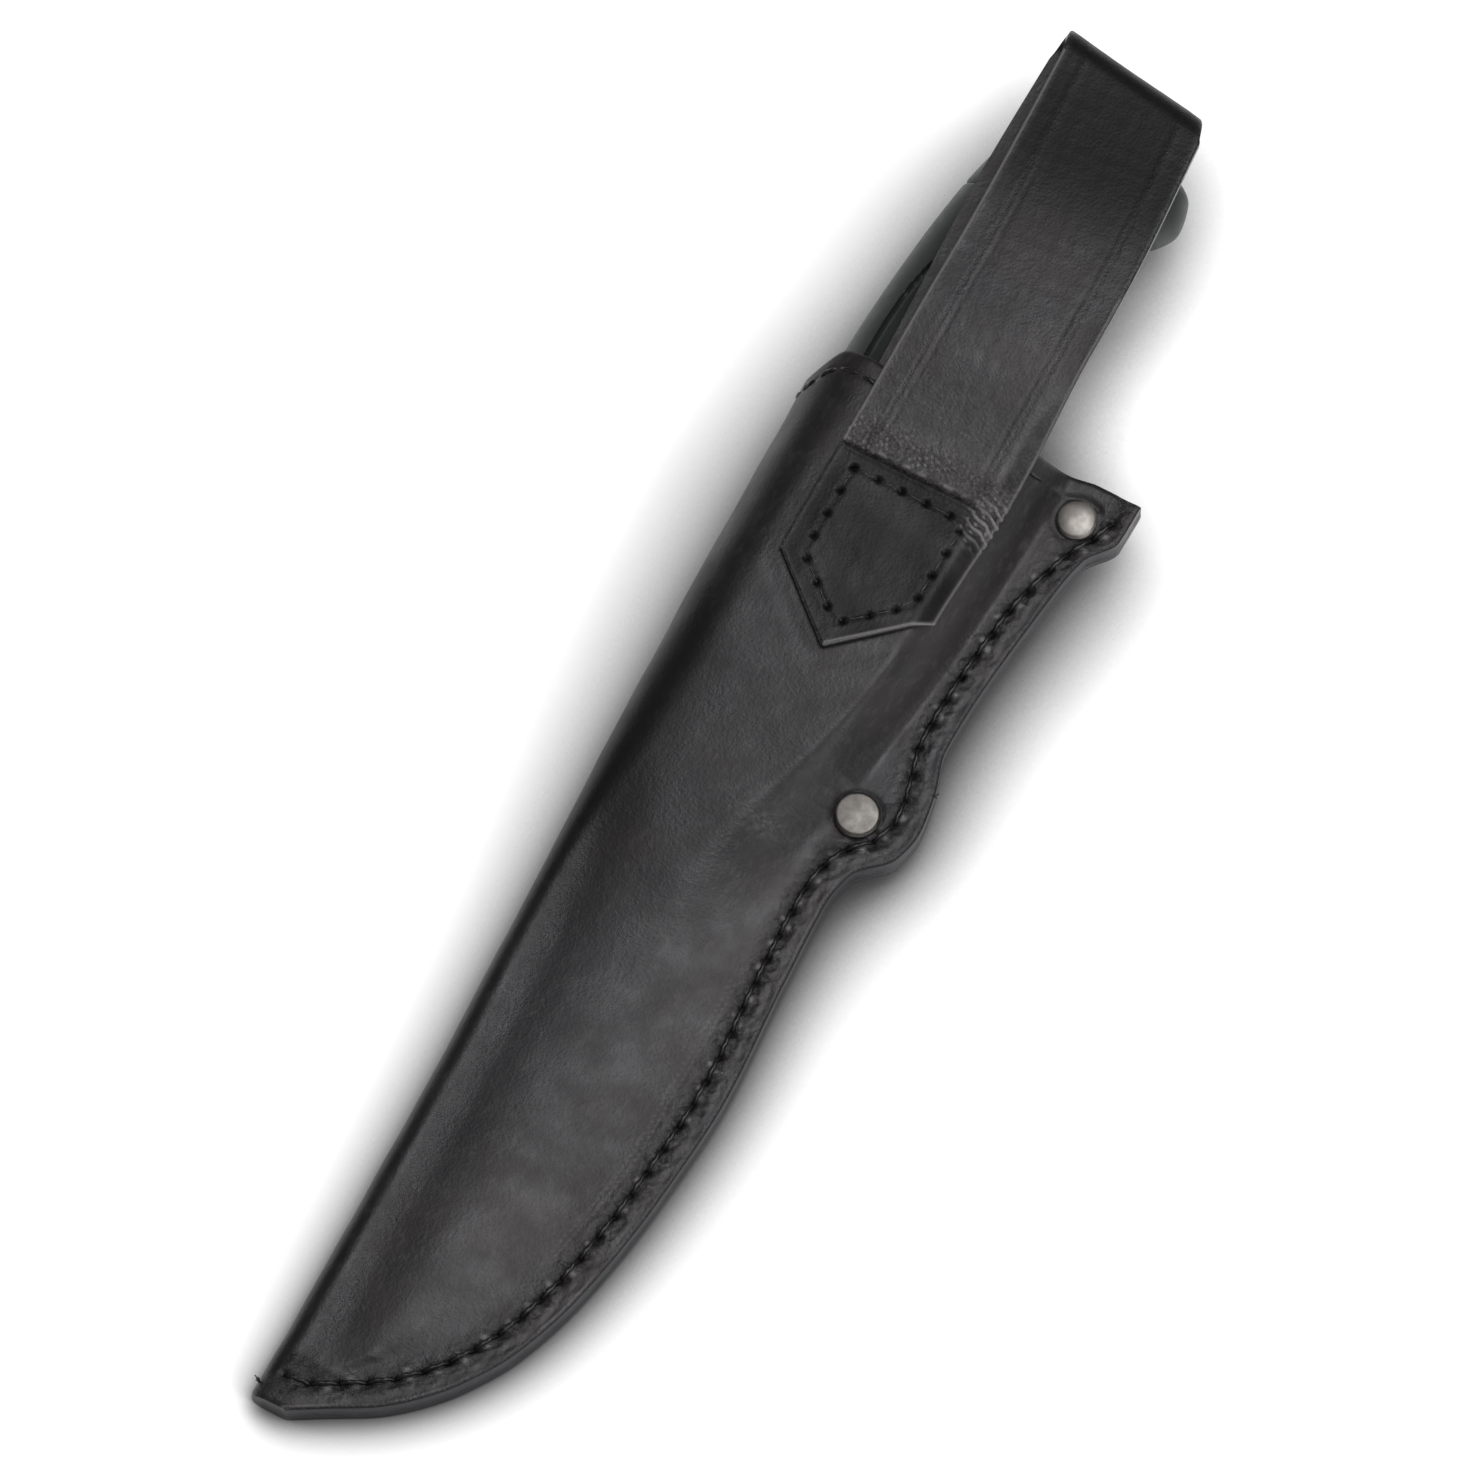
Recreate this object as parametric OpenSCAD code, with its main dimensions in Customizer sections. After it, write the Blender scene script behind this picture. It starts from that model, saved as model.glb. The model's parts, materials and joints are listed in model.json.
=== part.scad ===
// Hori hori knife carried in a folded leather sheath with a long belt loop.
//
// Every piece is first built in the knife frame: +Y runs from the toe of the sheath to the butt of the
// knife, +X from the folded side to the stitched side, +Z from the front panel to the back panel that
// carries the belt loop, and z = 0 is the middle of the blade. at_rest() then lays the whole knife down
// on its front panel, with the origin under the middle of its box. Lengths are in millimetres.

/* [Leather] */
// Thickness of the pouch leather
leather = 2.6; // [2.2:0.1:2.8]
// Thickness of the welt between the two panels
welt_t = 2.6; // [2.2:0.1:3]
// Width of the stitched seam from its outer edge to the welt's inner edge
seam_w = 11; // [9:0.5:12]

/* [Pouch] */
// Length of the pouch from toe to mouth
pouch_length = 256; // [252:1:262]
// Width across the deepest part of the belly
belly_w = 58.4; // [57:0.2:60]
// Width at the waist below the swell
waist_w = 56.7; // [56:0.1:57.5]
// Width across the swell beside the guard
swell_w = 67; // [64:0.2:68]
// Width above the swell
hip_w = 63.4; // [62:0.2:64]
// Width across the pointed corner of the mouth
beak_w = 74.8; // [72:0.2:76]
// Height of the back panel above the blade's middle at the mouth
back_height = 16.4; // [16:0.2:18]
// Depth of the front panel below the blade's middle at the mouth
front_depth = 13.8; // [13.6:0.1:14.4]
// How far the seam climbs towards the back panel at the mouth
seam_rise = 3; // [2:0.5:4]

/* [Belt loop] */
// Width of the strap
strap_w = 36; // [32:1:38]
// Thickness of the strap
strap_t = 2.2; // [1.8:0.1:2.4]
// Clear height inside the loop
belt_gap = 7; // [6:0.5:9]
// Far end of the folded strap
loop_end = 340; // [336:1:342]

/* [Stitching and rivets] */
// Distance between stitch holes
stitch_pitch = 5.9; // [5:0.1:7]
// Distance from the seam's outer edge to the stitch line
stitch_inset = 5.6; // [4.5:0.1:6.5]
// Diameter of the waxed thread
thread_d = 0.9; // [0.7:0.1:1]
// Diameter of the mouth rivet's head
mouth_rivet_d = 8.8; // [8:0.2:10]
// Diameter of the swell rivet's head
swell_rivet_d = 10; // [8:0.2:10.4]
// Height of a rivet head
rivet_h = 1.7; // [1.2:0.1:2]

/* [Knife] */
// Thickness of the blade at its back
blade_t = 3.6; // [2.8:0.2:3.8]
// Width of the tang inside the grip
tang_w = 14; // [12:1:16]
// Thickness of the finger guard
guard_t = 4; // [3:0.5:4.5]
// Greatest half thickness of the grip
grip_half = 10.4; // [9.6:0.2:10.4]
// Inside diameter of the lanyard tube
lanyard_d = 6; // [4:0.5:6]

/* [Hidden] */

seam_half = leather + welt_t / 2;
toe_y = -2;

// Resting on a flat surface: the toe and the underside of the handle bulge touch it
toe_depth = seam_half + 0.1;
rest_land_end = 234;
rest_tilt = atan((front_depth - toe_depth) / rest_land_end);

// Outlines in plan, as [y, x] pairs from the toe to the mouth
fold_line = [[toe_y, 0.4], [20, 1], [80, 1], [122, 0], [182, -1], [pouch_length, -1]];
seam_edge = [[toe_y, 9], [2, 16], [8, 26.4], [14, 33.4], [20, 38.7], [32, 46], [50, 52], [74, 56.2],
             [102, belly_w], [128, 57.2], [148, waist_w], [156, 58.2], [164, swell_w - 1.6],
             [171, swell_w], [180, swell_w - 1.1], [190, hip_w], [230, 67.4], [240, 69.6],
             [247, beak_w - 0.4], [pouch_length, beak_w]];
// The welt reaches in this far at most, so that it backs the swell rivet
welt_reach = [[toe_y, 60], [150, 56], [163, 49], [177, 49], [200, 53], [pouch_length, 57]];

// Section heights along the pouch, as [y, height] pairs
back_crown = [[toe_y, seam_half], [40, 5.2], [110, 5.4], [166, 11.4], [200, 14.9],
              [rest_land_end, back_height - 0.2], [pouch_length, back_height]];
front_crown = [[toe_y, seam_half], [40, 5.2], [112, 5.4], [166, 12], [200, front_depth],
               [pouch_length, front_depth]];
seam_height = [[toe_y, 0], [112, 0], [150, 0.4], [pouch_length, seam_rise]];
fold_radius = [[toe_y, 3.9], [30, 5.6], [120, 6], [180, 12], [pouch_length, 14]];
back_shoulder = [[toe_y, 18], [120, 22], [200, 45], [pouch_length, 48]];
front_shoulder = [[toe_y, 18], [120, 22], [180, 24], [pouch_length, 24]];
fold_power = 2.2;
// The back panel runs out smoothly this far onto the seam
seam_blend = 3;

// The mouth is cut back at the fold, and hollowed a little between the fold and the pointed corner
mouth_corner = 7;
mouth_corner_w = 6.5;
mouth_hollow = 3;
mouth_hollow_from = 12;
mouth_hollow_w = 52;
mouth_cut_from = 214;
mouth_stitch_inset = 4.5;
stitch_proud = 0.25;
seam_first_hole = [5, 4.6];
seam_last_y = pouch_length - 6;
// Stitches crowd the edge where they pass the mouth rivet, as [y, distance from the edge] pairs
seam_insets = [[0, stitch_inset], [222, stitch_inset], [240, 3.4], [pouch_length, 3.4]];

// Strap: the tab is a pentagon with its point towards the toe
tab_tip = 195;
tab_shoulder = 210;
strap_left = [[tab_tip, 13.4], [tab_shoulder, 13.4], [240, 14.2], [300, 15.8], [loop_end, 15.2]];
strap_widths = [[tab_shoulder, strap_w], [242, strap_w + 1.2], [285, strap_w + 0.8],
                [loop_end, strap_w - 1]];
strap_steps = 8;
sewn_gap = 0.1;
crease_y = 236.5;
// The strap climbs from the crease to its full height here
strap_level_y = 276;
fold_skew = 0.145;
// The other end of the strap is sewn inside the pouch, and rises out of the mouth
riser_left = [[200, 12.4], [262, 12.3], [300, 11.6], [loop_end, 12.8]];
riser_w = 32;
riser_end = 199;
riser_free_from = 236;
riser_free_to = 254;
riser_z = grip_half + 0.9 + strap_t / 2;
loop_r = (belt_gap + strap_t) / 2;
loop_centre_y = loop_end - loop_r - strap_t / 2;
tab_stitch_inset = 5.2;
tab_stitch_pitch = 5.6;
tab_stitch_drop = 4.4;

swell_rivet = [53.6, 168.6];
mouth_rivet = [64.2, 247.2];
rivet_barrel_d = 3.6;
rivet_post_d = 2.4;
rivet_rim = 0.5;

// Knife outlines, as [y, x] pairs
blade_tip = 11;
blade_back_x = 5.2;
blade_edge = [[blade_tip, 5.4], [13, 11], [17, 18], [24, 26], [34, 32.6], [50, 38.4], [74, 42.6],
              [104, 44.4], [140, 43.4], [158, 42.4]];
ricasso_y = 166;
guard_y = ricasso_y;
spacer_t = 1.5;
spacer_y = guard_y + guard_t;
grip_y = spacer_y + spacer_t;
pommel_y = 304;
butt_y = 327;
grip_back = [[grip_y, 4], [200, 2.6], [240, 2.4], [262, 3], [285, 5], [pommel_y, 7.8],
             [313, 10], [320, 12.5], [325, 16.5], [butt_y, 21]];
grip_belly = [[grip_y, 38], [184, 35.5], [214, 40.5], [250, 37], [285, 36.5], [pommel_y, 40],
              [308, 44], [311, 50], [316, 52.7], [322, 51.6], [325, 48.5], [butt_y, 40]];
grip_depth = [[grip_y, 7.6], [200, grip_half - 1.2], [238, grip_half], [290, grip_half],
              [pommel_y, grip_half - 0.4], [318, grip_half - 1.2], [323, 8.2], [326, 6.4], [butt_y, 5.2]];
grip_power = 2.4;
guard_x = [3, 46.5];
guard_half = 7.4;
spacer_inset = 0.6;
tang_x = 23;
tang_end = 300;
rod_end = 317;
rod_d = blade_t - 0.8;
inlay_from = 182;
inlay_to = 292;
inlay_half_w = 11.5;
inlay_floor = 6;
inlay_power = 6;
pin_d = 5;
pin_ys = [200, 274];
pin_sink = 0.2;
nut_d = 9;
nut_y = 314;
lanyard_at = [41, 317];
lanyard_wall = 1;
lanyard_sink = 1.2;

black_leather = [0.17, 0.165, 0.17];
edge_leather = [0.14, 0.145, 0.16];
black_thread = [0.06, 0.06, 0.06];
nickel = [0.66, 0.64, 0.6];
steel = [0.7, 0.7, 0.71];
moulded = [0.2, 0.22, 0.21];
rubber = [0.13, 0.14, 0.135];

// ---- Curves ----
function mix(a, b, t) = a + (b - a) * t;
function clamp01(t) = min(1, max(0, t));
function ease(t) = let (u = clamp01(t)) u * u * (3 - 2 * u);
function secant(p, i) = (p[i + 1][1] - p[i][1]) / (p[i + 1][0] - p[i][0]);
// Slope of the smooth curve at key point i: level at a peak or a dip, so that no key point is overshot
function key_slope(p, i) =
    i == 0 ? secant(p, 0) :
    i == len(p) - 1 ? secant(p, i - 1) :
    let (a = secant(p, i - 1), b = secant(p, i))
    a * b <= 0 ? 0 : 2 * a * b / (a + b);
function span_of(p, t, i = 0) = i >= len(p) - 2 || t < p[i + 1][0] ? i : span_of(p, t, i + 1);
function along(p, t) =
    let (i = span_of(p, t),
         h = p[i + 1][0] - p[i][0],
         u = clamp01((t - p[i][0]) / h),
         rise = p[i + 1][1] - p[i][1],
         m0 = key_slope(p, i) * h,
         m1 = key_slope(p, i + 1) * h)
    p[i][1] + u * (m0 + u * (3 * rise - 2 * m0 - m1 + u * (m0 + m1 - 2 * rise)));

// ---- Solids from rows of points ----
function flatten(rows) = [for (row = rows) each row];
function grid_faces(rows, cols, first, flip) = [
    for (i = [0 : rows - 2], j = [0 : cols - 2], half = [0, 1])
        let (a = first + i * cols + j,
             c = a + cols + 1,
             face = half == 0 ? [a, a + 1, c] : [a, c, a + cols])
        flip ? [face[2], face[1], face[0]] : face];
function grid_rim(rows, cols) = concat(
    [for (j = [0 : cols - 2]) j],
    [for (i = [0 : rows - 2]) i * cols + cols - 1],
    [for (j = [cols - 1 : -1 : 1]) (rows - 1) * cols + j],
    [for (i = [rows - 1 : -1 : 1]) i * cols]);

// A sheet of leather between two grids of points that have the same rows and columns
module sheet(outer, inner) {
    rows = len(outer);
    cols = len(outer[0]);
    count = rows * cols;
    rim = grid_rim(rows, cols);
    rim_faces = [
        for (k = [0 : len(rim) - 1], half = [0, 1])
            let (a = rim[k], b = rim[(k + 1) % len(rim)])
            half == 0 ? [b, a, a + count] : [b, a + count, b + count]];
    polyhedron(concat(flatten(outer), flatten(inner)),
               concat(grid_faces(rows, cols, 0, false), grid_faces(rows, cols, count, true), rim_faces));
}

// A solid skinned over closed rings of points, from the first ring to the last
module skinned(rings) {
    rows = len(rings);
    n = len(rings[0]);
    sides = [
        for (i = [0 : rows - 2], j = [0 : n - 1], half = [0, 1])
            let (a = i * n + j, b = i * n + (j + 1) % n)
            half == 0 ? [a, b, b + n] : [a, b + n, a + n]];
    caps = [[for (j = [n - 1 : -1 : 0]) j], [for (j = [0 : n - 1]) (rows - 1) * n + j]];
    polyhedron(flatten(rings), concat(sides, caps));
}

module rod(a, b, r) {
    v = b - a;
    translate(a) rotate([0, acos(v.z / norm(v)), atan2(v.y, v.x)]) cylinder(r = r, h = norm(v), $fn = 16);
}

// ---- Shape of the pouch ----
function fold_x(y) = along(fold_line, y);
function edge_x(y) = along(seam_edge, y);
function edge_slope(y) = edge_x(y + 0.5) - edge_x(y - 0.5);
function edge_stretch(y) = sqrt(1 + pow(edge_slope(y), 2));
function crown_x(y) = fold_x(y) + along(fold_radius, y);
function welt_x(y) =
    max(crown_x(y) + 0.5, min(edge_x(y) - seam_w * edge_stretch(y), along(welt_reach, y)));
function floor_depth(y) = toe_depth + y * tan(rest_tilt);
function front_of(y) = min(along(front_crown, y), floor_depth(y));
function fold_centre(y) = (along(back_crown, y) - front_of(y)) / 2;
function fold_round(x, y, depth) =
    let (u = (x - fold_x(y) - depth) / (along(fold_radius, y) - depth))
    u >= 1 ? 1 : pow(1 - pow(1 - max(0, u), fold_power), 1 / fold_power);
// Height of the back and front panels at x, y, and depth below their outer faces
function back_z(x, y, depth = 0) =
    let (from = min(along(back_shoulder, y), welt_x(y) - 1),
         drop = ease((x - from) / (welt_x(y) + seam_blend - from)),
         top = mix(along(back_crown, y), along(seam_height, y) + seam_half, drop) - depth)
    mix(fold_centre(y), top, fold_round(x, y, depth));
function front_z(x, y, depth = 0) =
    let (from = min(along(front_shoulder, y), welt_x(y) - 1),
         drop = pow(clamp01((x - from) / (welt_x(y) - from)), 3),
         low = mix(-front_of(y), along(seam_height, y) - seam_half, drop) + depth)
    mix(fold_centre(y), max(low, depth - floor_depth(shaped_y(x, y))), fold_round(x, y, depth));

function mouth_offset(x) =
    -mouth_corner * (1 - ease((x - fold_x(pouch_length)) / mouth_corner_w))
    - mouth_hollow * sin(180 * clamp01((x - mouth_hollow_from) / mouth_hollow_w));
function shaped_y(x, y) =
    y + mouth_offset(x) * ease((y - mouth_cut_from) / (pouch_length - mouth_cut_from));

stations = concat([for (y = [toe_y : 2 : 12]) y], [16, 20], [for (y = [27 : 9 : 144]) y],
                  [for (y = [148 : 4 : 192]) y], [for (y = [200 : 9 : 236]) y], [241, 245, 248, 252],
                  [pouch_length]);
seam_steps = 2;
panel_steps = 9;
panel_crowding = 1.4;
fold_steps = 6;
function panel_xs(y, depth) = concat(
    [for (k = [0 : seam_steps]) mix(edge_x(y), welt_x(y), k / seam_steps)],
    [for (k = [1 : panel_steps]) mix(welt_x(y), crown_x(y), pow(k / panel_steps, panel_crowding))],
    [for (k = [1 : fold_steps])
        mix(crown_x(y), fold_x(y) + depth, sin(90 * k / fold_steps))]);
// One section of the pouch at a depth in the leather, from the back edge round the fold to the front edge
function pouch_section(y, depth) =
    let (xs = panel_xs(y, depth), outer_xs = panel_xs(y, 0), last = len(xs) - 1)
    concat([for (i = [0 : last]) [xs[i], shaped_y(outer_xs[i], y), back_z(xs[i], y, depth)]],
           [for (i = [last - 1 : -1 : 0]) [xs[i], shaped_y(outer_xs[i], y), front_z(xs[i], y, depth)]]);

// ---- Stitching ----
// A path is a list of [back x, y, z, front x, y, z] points
function distances(path) = [
    for (i = 0, s = 0; i < len(path);
         s = s + (i < len(path) - 1 ? norm([for (k = [0 : 2]) path[i + 1][k] - path[i][k]]) : 0), i = i + 1)
        s];
function at_distance(path, s, d) = [
    for (k = [0 : len(path[0]) - 1]) lookup(d, [for (i = [0 : len(path) - 1]) [s[i], path[i][k]]])];
function paced(path, pitch) =
    let (s = distances(path), total = s[len(s) - 1], count = round(total / pitch))
    [for (k = [0 : count]) at_distance(path, s, total * k / count)];
function near_end(p) = [p[0], p[1], p[2]];
function far_end(p) = [p[3], p[4], p[5]];
function unit(v) = v / norm(v);

// Saddle stitching: a thread through every hole and a run between holes on both faces
module stitches(holes) {
    leg_r = thread_d / 2 + 0.1;
    gap = 0.15;
    for (i = [0 : len(holes) - 1]) {
        out = unit(near_end(holes[i]) - far_end(holes[i])) * stitch_proud;
        rod(far_end(holes[i]) - out, near_end(holes[i]) + out, leg_r);
        if (i < len(holes) - 1) {
            for (side = [0, 1]) {
                a = side == 0 ? near_end(holes[i]) : far_end(holes[i]);
                b = side == 0 ? near_end(holes[i + 1]) : far_end(holes[i + 1]);
                sink = out * (side == 0 ? -1 : 1);
                rod(a + unit(b - a) * gap + sink, b - unit(b - a) * gap + sink, thread_d / 2);
            }
        }
    }
}

function seam_point(x, y) =
    [x, y, along(seam_height, y) + seam_half, x, y, along(seam_height, y) - seam_half];
function seam_path() = concat(
    [seam_point(seam_first_hole.x, seam_first_hole.y)],
    [for (y = [0 : 2 : seam_last_y])
        let (inset = along(seam_insets, y))
        seam_point(edge_x(y) - inset / edge_stretch(y), y + inset * edge_slope(y) / edge_stretch(y))]);
function mouth_path() =
    let (y = pouch_length - mouth_stitch_inset,
         outer = pouch_section(y, 0),
         inner = pouch_section(y, leather),
         first = seam_steps + 1)
    [for (i = [first : len(outer) - 1 - first]) concat(outer[i], inner[i])];

// ---- Belt loop ----
function strap_at(y, share) = along(strap_left, y) + along(strap_widths, y) * share;
function riser_at(y, share) = along(riser_left, y) + riser_w * share;
function tab_narrowing(y) = mix(0.04, 1, clamp01((y - tab_tip) / (tab_shoulder - tab_tip)));
function tab_row(y, lift) = [
    for (k = [0 : strap_steps])
        let (x = strap_at(y, 0.5 + tab_narrowing(y) * (k / strap_steps - 0.5)))
        [x, y, back_z(x, y) + sewn_gap + lift]];
function strap_z() = riser_z + 2 * loop_r;
function front_row(y, t, lift) = [
    for (k = [0 : strap_steps])
        let (x = strap_at(y, k / strap_steps),
             start = back_z(x, crease_y) + strap_t / 2)
        [x, y, mix(start, strap_z(), ease(t)) + lift]];
function fold_row(angle, r) = [
    for (k = [0 : strap_steps])
        let (share = k / strap_steps)
        [mix(strap_at(loop_end, share), riser_at(loop_end, share), angle / 180),
         loop_centre_y + r * sin(angle) - fold_skew * strap_w * share,
         riser_z + loop_r + r * cos(angle)]];
function riser_row(y, lift) = [
    for (k = [0 : strap_steps])
        let (x = riser_at(y, k / strap_steps),
             inside = back_z(x, y, leather) - strap_t / 2 - sewn_gap,
             free = riser_z)
        [x, y, mix(min(inside, free), free, ease((y - riser_free_from) / (riser_free_to - riser_free_from)))
               + lift]];
// The two faces of the strap, from the tab's point, over the top fold and down to the sewn end
tab_ys = [tab_tip, 203, tab_shoulder, 219, 228, crease_y];
climb_steps = 6;
free_ys = [290, 304, 318];
riser_ys = [318, 304, 290, 276, 262, riser_free_to, 248, 242, riser_free_from, 226, 214, riser_end];
function strap_face(out) =
    let (half = out * strap_t / 2)
    concat([for (y = tab_ys) tab_row(y, strap_t / 2 + half)],
           [for (k = [1 : climb_steps])
               front_row(mix(crease_y, strap_level_y, k / climb_steps), k / climb_steps, half)],
           [for (y = free_ys) front_row(y, 1, half)],
           [for (a = [0 : 15 : 180]) fold_row(a, loop_r + half)],
           [for (y = riser_ys) riser_row(y, -half)]);

function tab_hole(x, y) = [x, y, back_z(x, y) + strap_t, x, y, back_z(x, y, leather) - strap_t];
function tab_path() =
    let (inset = tab_stitch_inset / strap_w,
         top = crease_y - tab_stitch_drop,
         low = tab_shoulder + 1,
         tip = tab_tip + tab_stitch_inset)
    [for (p = [[inset, top], [inset, low], [0.5, tip], [1 - inset, low], [1 - inset, top], [inset, top]])
        tab_hole(strap_at(p[1], p[0]), p[1])];

// ---- Placing ----
box_x = (beak_w + min([for (p = fold_line) p[1]]) - stitch_proud) / 2;
box_low_y = toe_y * cos(rest_tilt) - seam_half * sin(rest_tilt);
box_high_y = loop_centre_y * cos(rest_tilt) - (riser_z + loop_r) * sin(rest_tilt) + loop_r + strap_t / 2;
box_y = (box_low_y + box_high_y) / 2;
module at_rest() {
    translate([-box_x, -box_y, toe_depth * cos(rest_tilt)]) rotate([rest_tilt, 0, 0]) children();
}
// Places a rivet on the seam, square to its face
module on_seam(at) {
    slope = atan(along(seam_height, at.y + 0.5) - along(seam_height, at.y - 0.5));
    translate([at.x, at.y, along(seam_height, at.y)]) rotate([slope, 0, 0]) children();
}

// ---- Sheath ----
module pouch() {
    color(black_leather) at_rest() difference() {
        sheet([for (y = stations) pouch_section(y, 0)], [for (y = stations) pouch_section(y, leather)]);
        for (at = [swell_rivet, mouth_rivet])
            on_seam(at) cylinder(d = rivet_barrel_d, h = 4 * seam_half, center = true, $fn = 32);
    }
}

module welt() {
    steps = 3;
    function row(y, lift) = [
        for (k = [0 : steps])
            let (x = mix(edge_x(y), welt_x(y), k / steps))
            [x, shaped_y(x, y), along(seam_height, y) + lift]];
    color(edge_leather) at_rest() difference() {
        sheet([for (y = stations) row(y, welt_t / 2)], [for (y = stations) row(y, -welt_t / 2)]);
        for (at = [swell_rivet, mouth_rivet])
            on_seam(at) cylinder(d = rivet_barrel_d, h = 4 * welt_t, center = true, $fn = 32);
    }
}

module belt_loop() {
    color(black_leather) at_rest() sheet(strap_face(-1), strap_face(1));
}

module seam_thread() {
    color(black_thread) at_rest() stitches(paced(seam_path(), stitch_pitch));
}

module mouth_thread() {
    color(black_thread) at_rest() stitches(paced(mouth_path(), stitch_pitch));
}

module tab_thread() {
    color(black_thread) at_rest() stitches(paced(tab_path(), tab_stitch_pitch));
}

module rivet_head(d) {
    rotate_extrude($fn = 48)
        polygon([[0, 0], [d / 2, 0], [d / 2, rivet_rim], [0.42 * d, 0.72 * rivet_h],
                 [0.25 * d, 0.95 * rivet_h], [0, rivet_h]]);
}

// The cap's barrel and the stud's barrel meet in the middle of the back panel's leather
cap_barrel = welt_t + leather / 2;
module rivet_cap(at, d) {
    color(nickel) at_rest() on_seam(at) translate([0, 0, seam_half]) difference() {
        union() {
            rivet_head(d);
            translate([0, 0, -cap_barrel]) cylinder(d = rivet_barrel_d, h = cap_barrel, $fn = 32);
        }
        translate([0, 0, -seam_half]) cylinder(d = rivet_post_d, h = seam_half + rivet_rim, $fn = 32);
    }
}

module rivet_stud(at, d) {
    color(nickel) at_rest() on_seam(at) translate([0, 0, -seam_half]) {
        rotate([180, 0, 0]) rivet_head(d);
        cylinder(d = rivet_barrel_d, h = 2 * seam_half - cap_barrel, $fn = 32);
        cylinder(d = rivet_post_d, h = 2 * seam_half + rivet_rim, $fn = 32);
    }
}

// ---- Knife ----
module blade() {
    flat_share = 0.45;
    edge_half = 0.3;
    tip_half = 0.6;
    taper_run = 14;
    tooth_pitch = 4;
    tooth_h = 1.6;
    teeth_from = 62;
    teeth_to = 142;
    tick_count = 12;
    tick_pitch = 10;
    tick_from = 19;
    tick_inset = 4;
    tick_w = 0.7;
    tick_l = 4;
    long_tick_l = 7;
    tick_depth = 0.25;
    ys = concat([blade_tip, 12, 13, 15, 17, 20, 24, 29], [for (y = [34 : 8 : 154]) y], [ricasso_y]);
    function back_half(y) = mix(tip_half, blade_t / 2, clamp01((y - blade_tip) / taper_run));
    function edge_at(y) = along(blade_edge, y);
    function ring(y) =
        let (mid = mix(blade_back_x, edge_at(y), flat_share), h = back_half(y))
        [[blade_back_x, y, -h], [mid, y, -h], [edge_at(y), y, -edge_half],
         [edge_at(y), y, edge_half], [mid, y, h], [blade_back_x, y, h]];
    color(steel) at_rest() difference() {
        union() {
            skinned([for (y = ys) ring(y)]);
            translate([tang_x - tang_w / 2, ricasso_y - 1, -blade_t / 2])
                cube([tang_w, tang_end - ricasso_y + 1, blade_t]);
            translate([tang_x, tang_end - 1, 0]) rotate([-90, 0, 0])
                cylinder(d = rod_d, h = rod_end - tang_end + 1, $fn = 32);
        }
        for (y = [teeth_from : tooth_pitch : teeth_to])
            translate([0, y, -blade_t]) linear_extrude(2 * blade_t)
                polygon([[blade_back_x - 1, -tooth_pitch / 2], [blade_back_x + tooth_h, 0],
                         [blade_back_x - 1, tooth_pitch / 2]]);
        for (k = [1 : tick_count], side = [-1, 1])
            translate([blade_back_x + tick_inset, tick_from + k * tick_pitch,
                       side * blade_t / 2 - tick_depth])
                cube([k % 5 == 0 ? long_tick_l : tick_l, tick_w, 2 * tick_depth]);
        for (y = pin_ys)
            translate([tang_x, y, 0]) cylinder(d = pin_d, h = 2 * blade_t, center = true, $fn = 32);
    }
}

module guard_plate(y, t, shrink) {
    centre = (guard_x[0] + guard_x[1]) / 2;
    half_w = (guard_x[1] - guard_x[0]) / 2 - shrink;
    half_h = guard_half - shrink;
    at_rest() difference() {
        translate([0, y + t, 0]) rotate([90, 0, 0]) linear_extrude(t)
            polygon([for (a = [0 : 10 : 350]) [centre + half_w * cos(a), half_h * sin(a)]]);
        translate([tang_x - tang_w / 2, y - 1, -blade_t / 2]) cube([tang_w, t + 2, blade_t]);
    }
}

module guard() {
    color(steel) guard_plate(guard_y, guard_t, 0);
}

module guard_spacer() {
    color(rubber) guard_plate(spacer_y, spacer_t, spacer_inset);
}

ring_step = 12;
function grip_ring(y) =
    let (left = along(grip_back, y), right = along(grip_belly, y), h = along(grip_depth, y),
         mid = (left + right) / 2, half_w = (right - left) / 2, p = 2 / grip_power)
    [for (a = [0 : ring_step : 360 - ring_step])
        [mid + half_w * sign(cos(a)) * pow(abs(cos(a)), p), y, h * sign(sin(a)) * pow(abs(sin(a)), p)]];
grip_ys = concat([grip_y], [for (y = [178 : 7 : 297]) y], [pommel_y]);
pommel_ys = concat([pommel_y, 307, 309, 310, 311], [for (y = [313 : 2 : 325]) y], [butt_y - 1, butt_y]);

// Space of one side panel: the grip's own side, above a flat floor and inside a long rounded outline
module inlay_space(side) {
    function mid_x(y) = mix(along(grip_back, y), along(grip_belly, y), 0.5);
    function from_middle(y) = abs(2 * (y - inlay_from) / (inlay_to - inlay_from) - 1);
    function half_w(y) = inlay_half_w * sqrt(clamp01(1 - pow(from_middle(y), inlay_power)));
    steps = 24;
    ys = [for (k = [0 : steps]) mix(inlay_from, inlay_to, (1 - cos(180 * k / steps)) / 2)];
    mirror([0, 0, side < 0 ? 1 : 0]) translate([0, 0, inlay_floor]) linear_extrude(grip_half)
        polygon(concat([for (y = ys) [mid_x(y) - half_w(y), y]],
                       [for (k = [steps - 1 : -1 : 1]) [mid_x(ys[k]) + half_w(ys[k]), ys[k]]]));
}

module pin_holes() {
    for (y = pin_ys)
        translate([tang_x, y, 0]) cylinder(d = pin_d, h = 4 * grip_half, center = true, $fn = 32);
}

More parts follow.
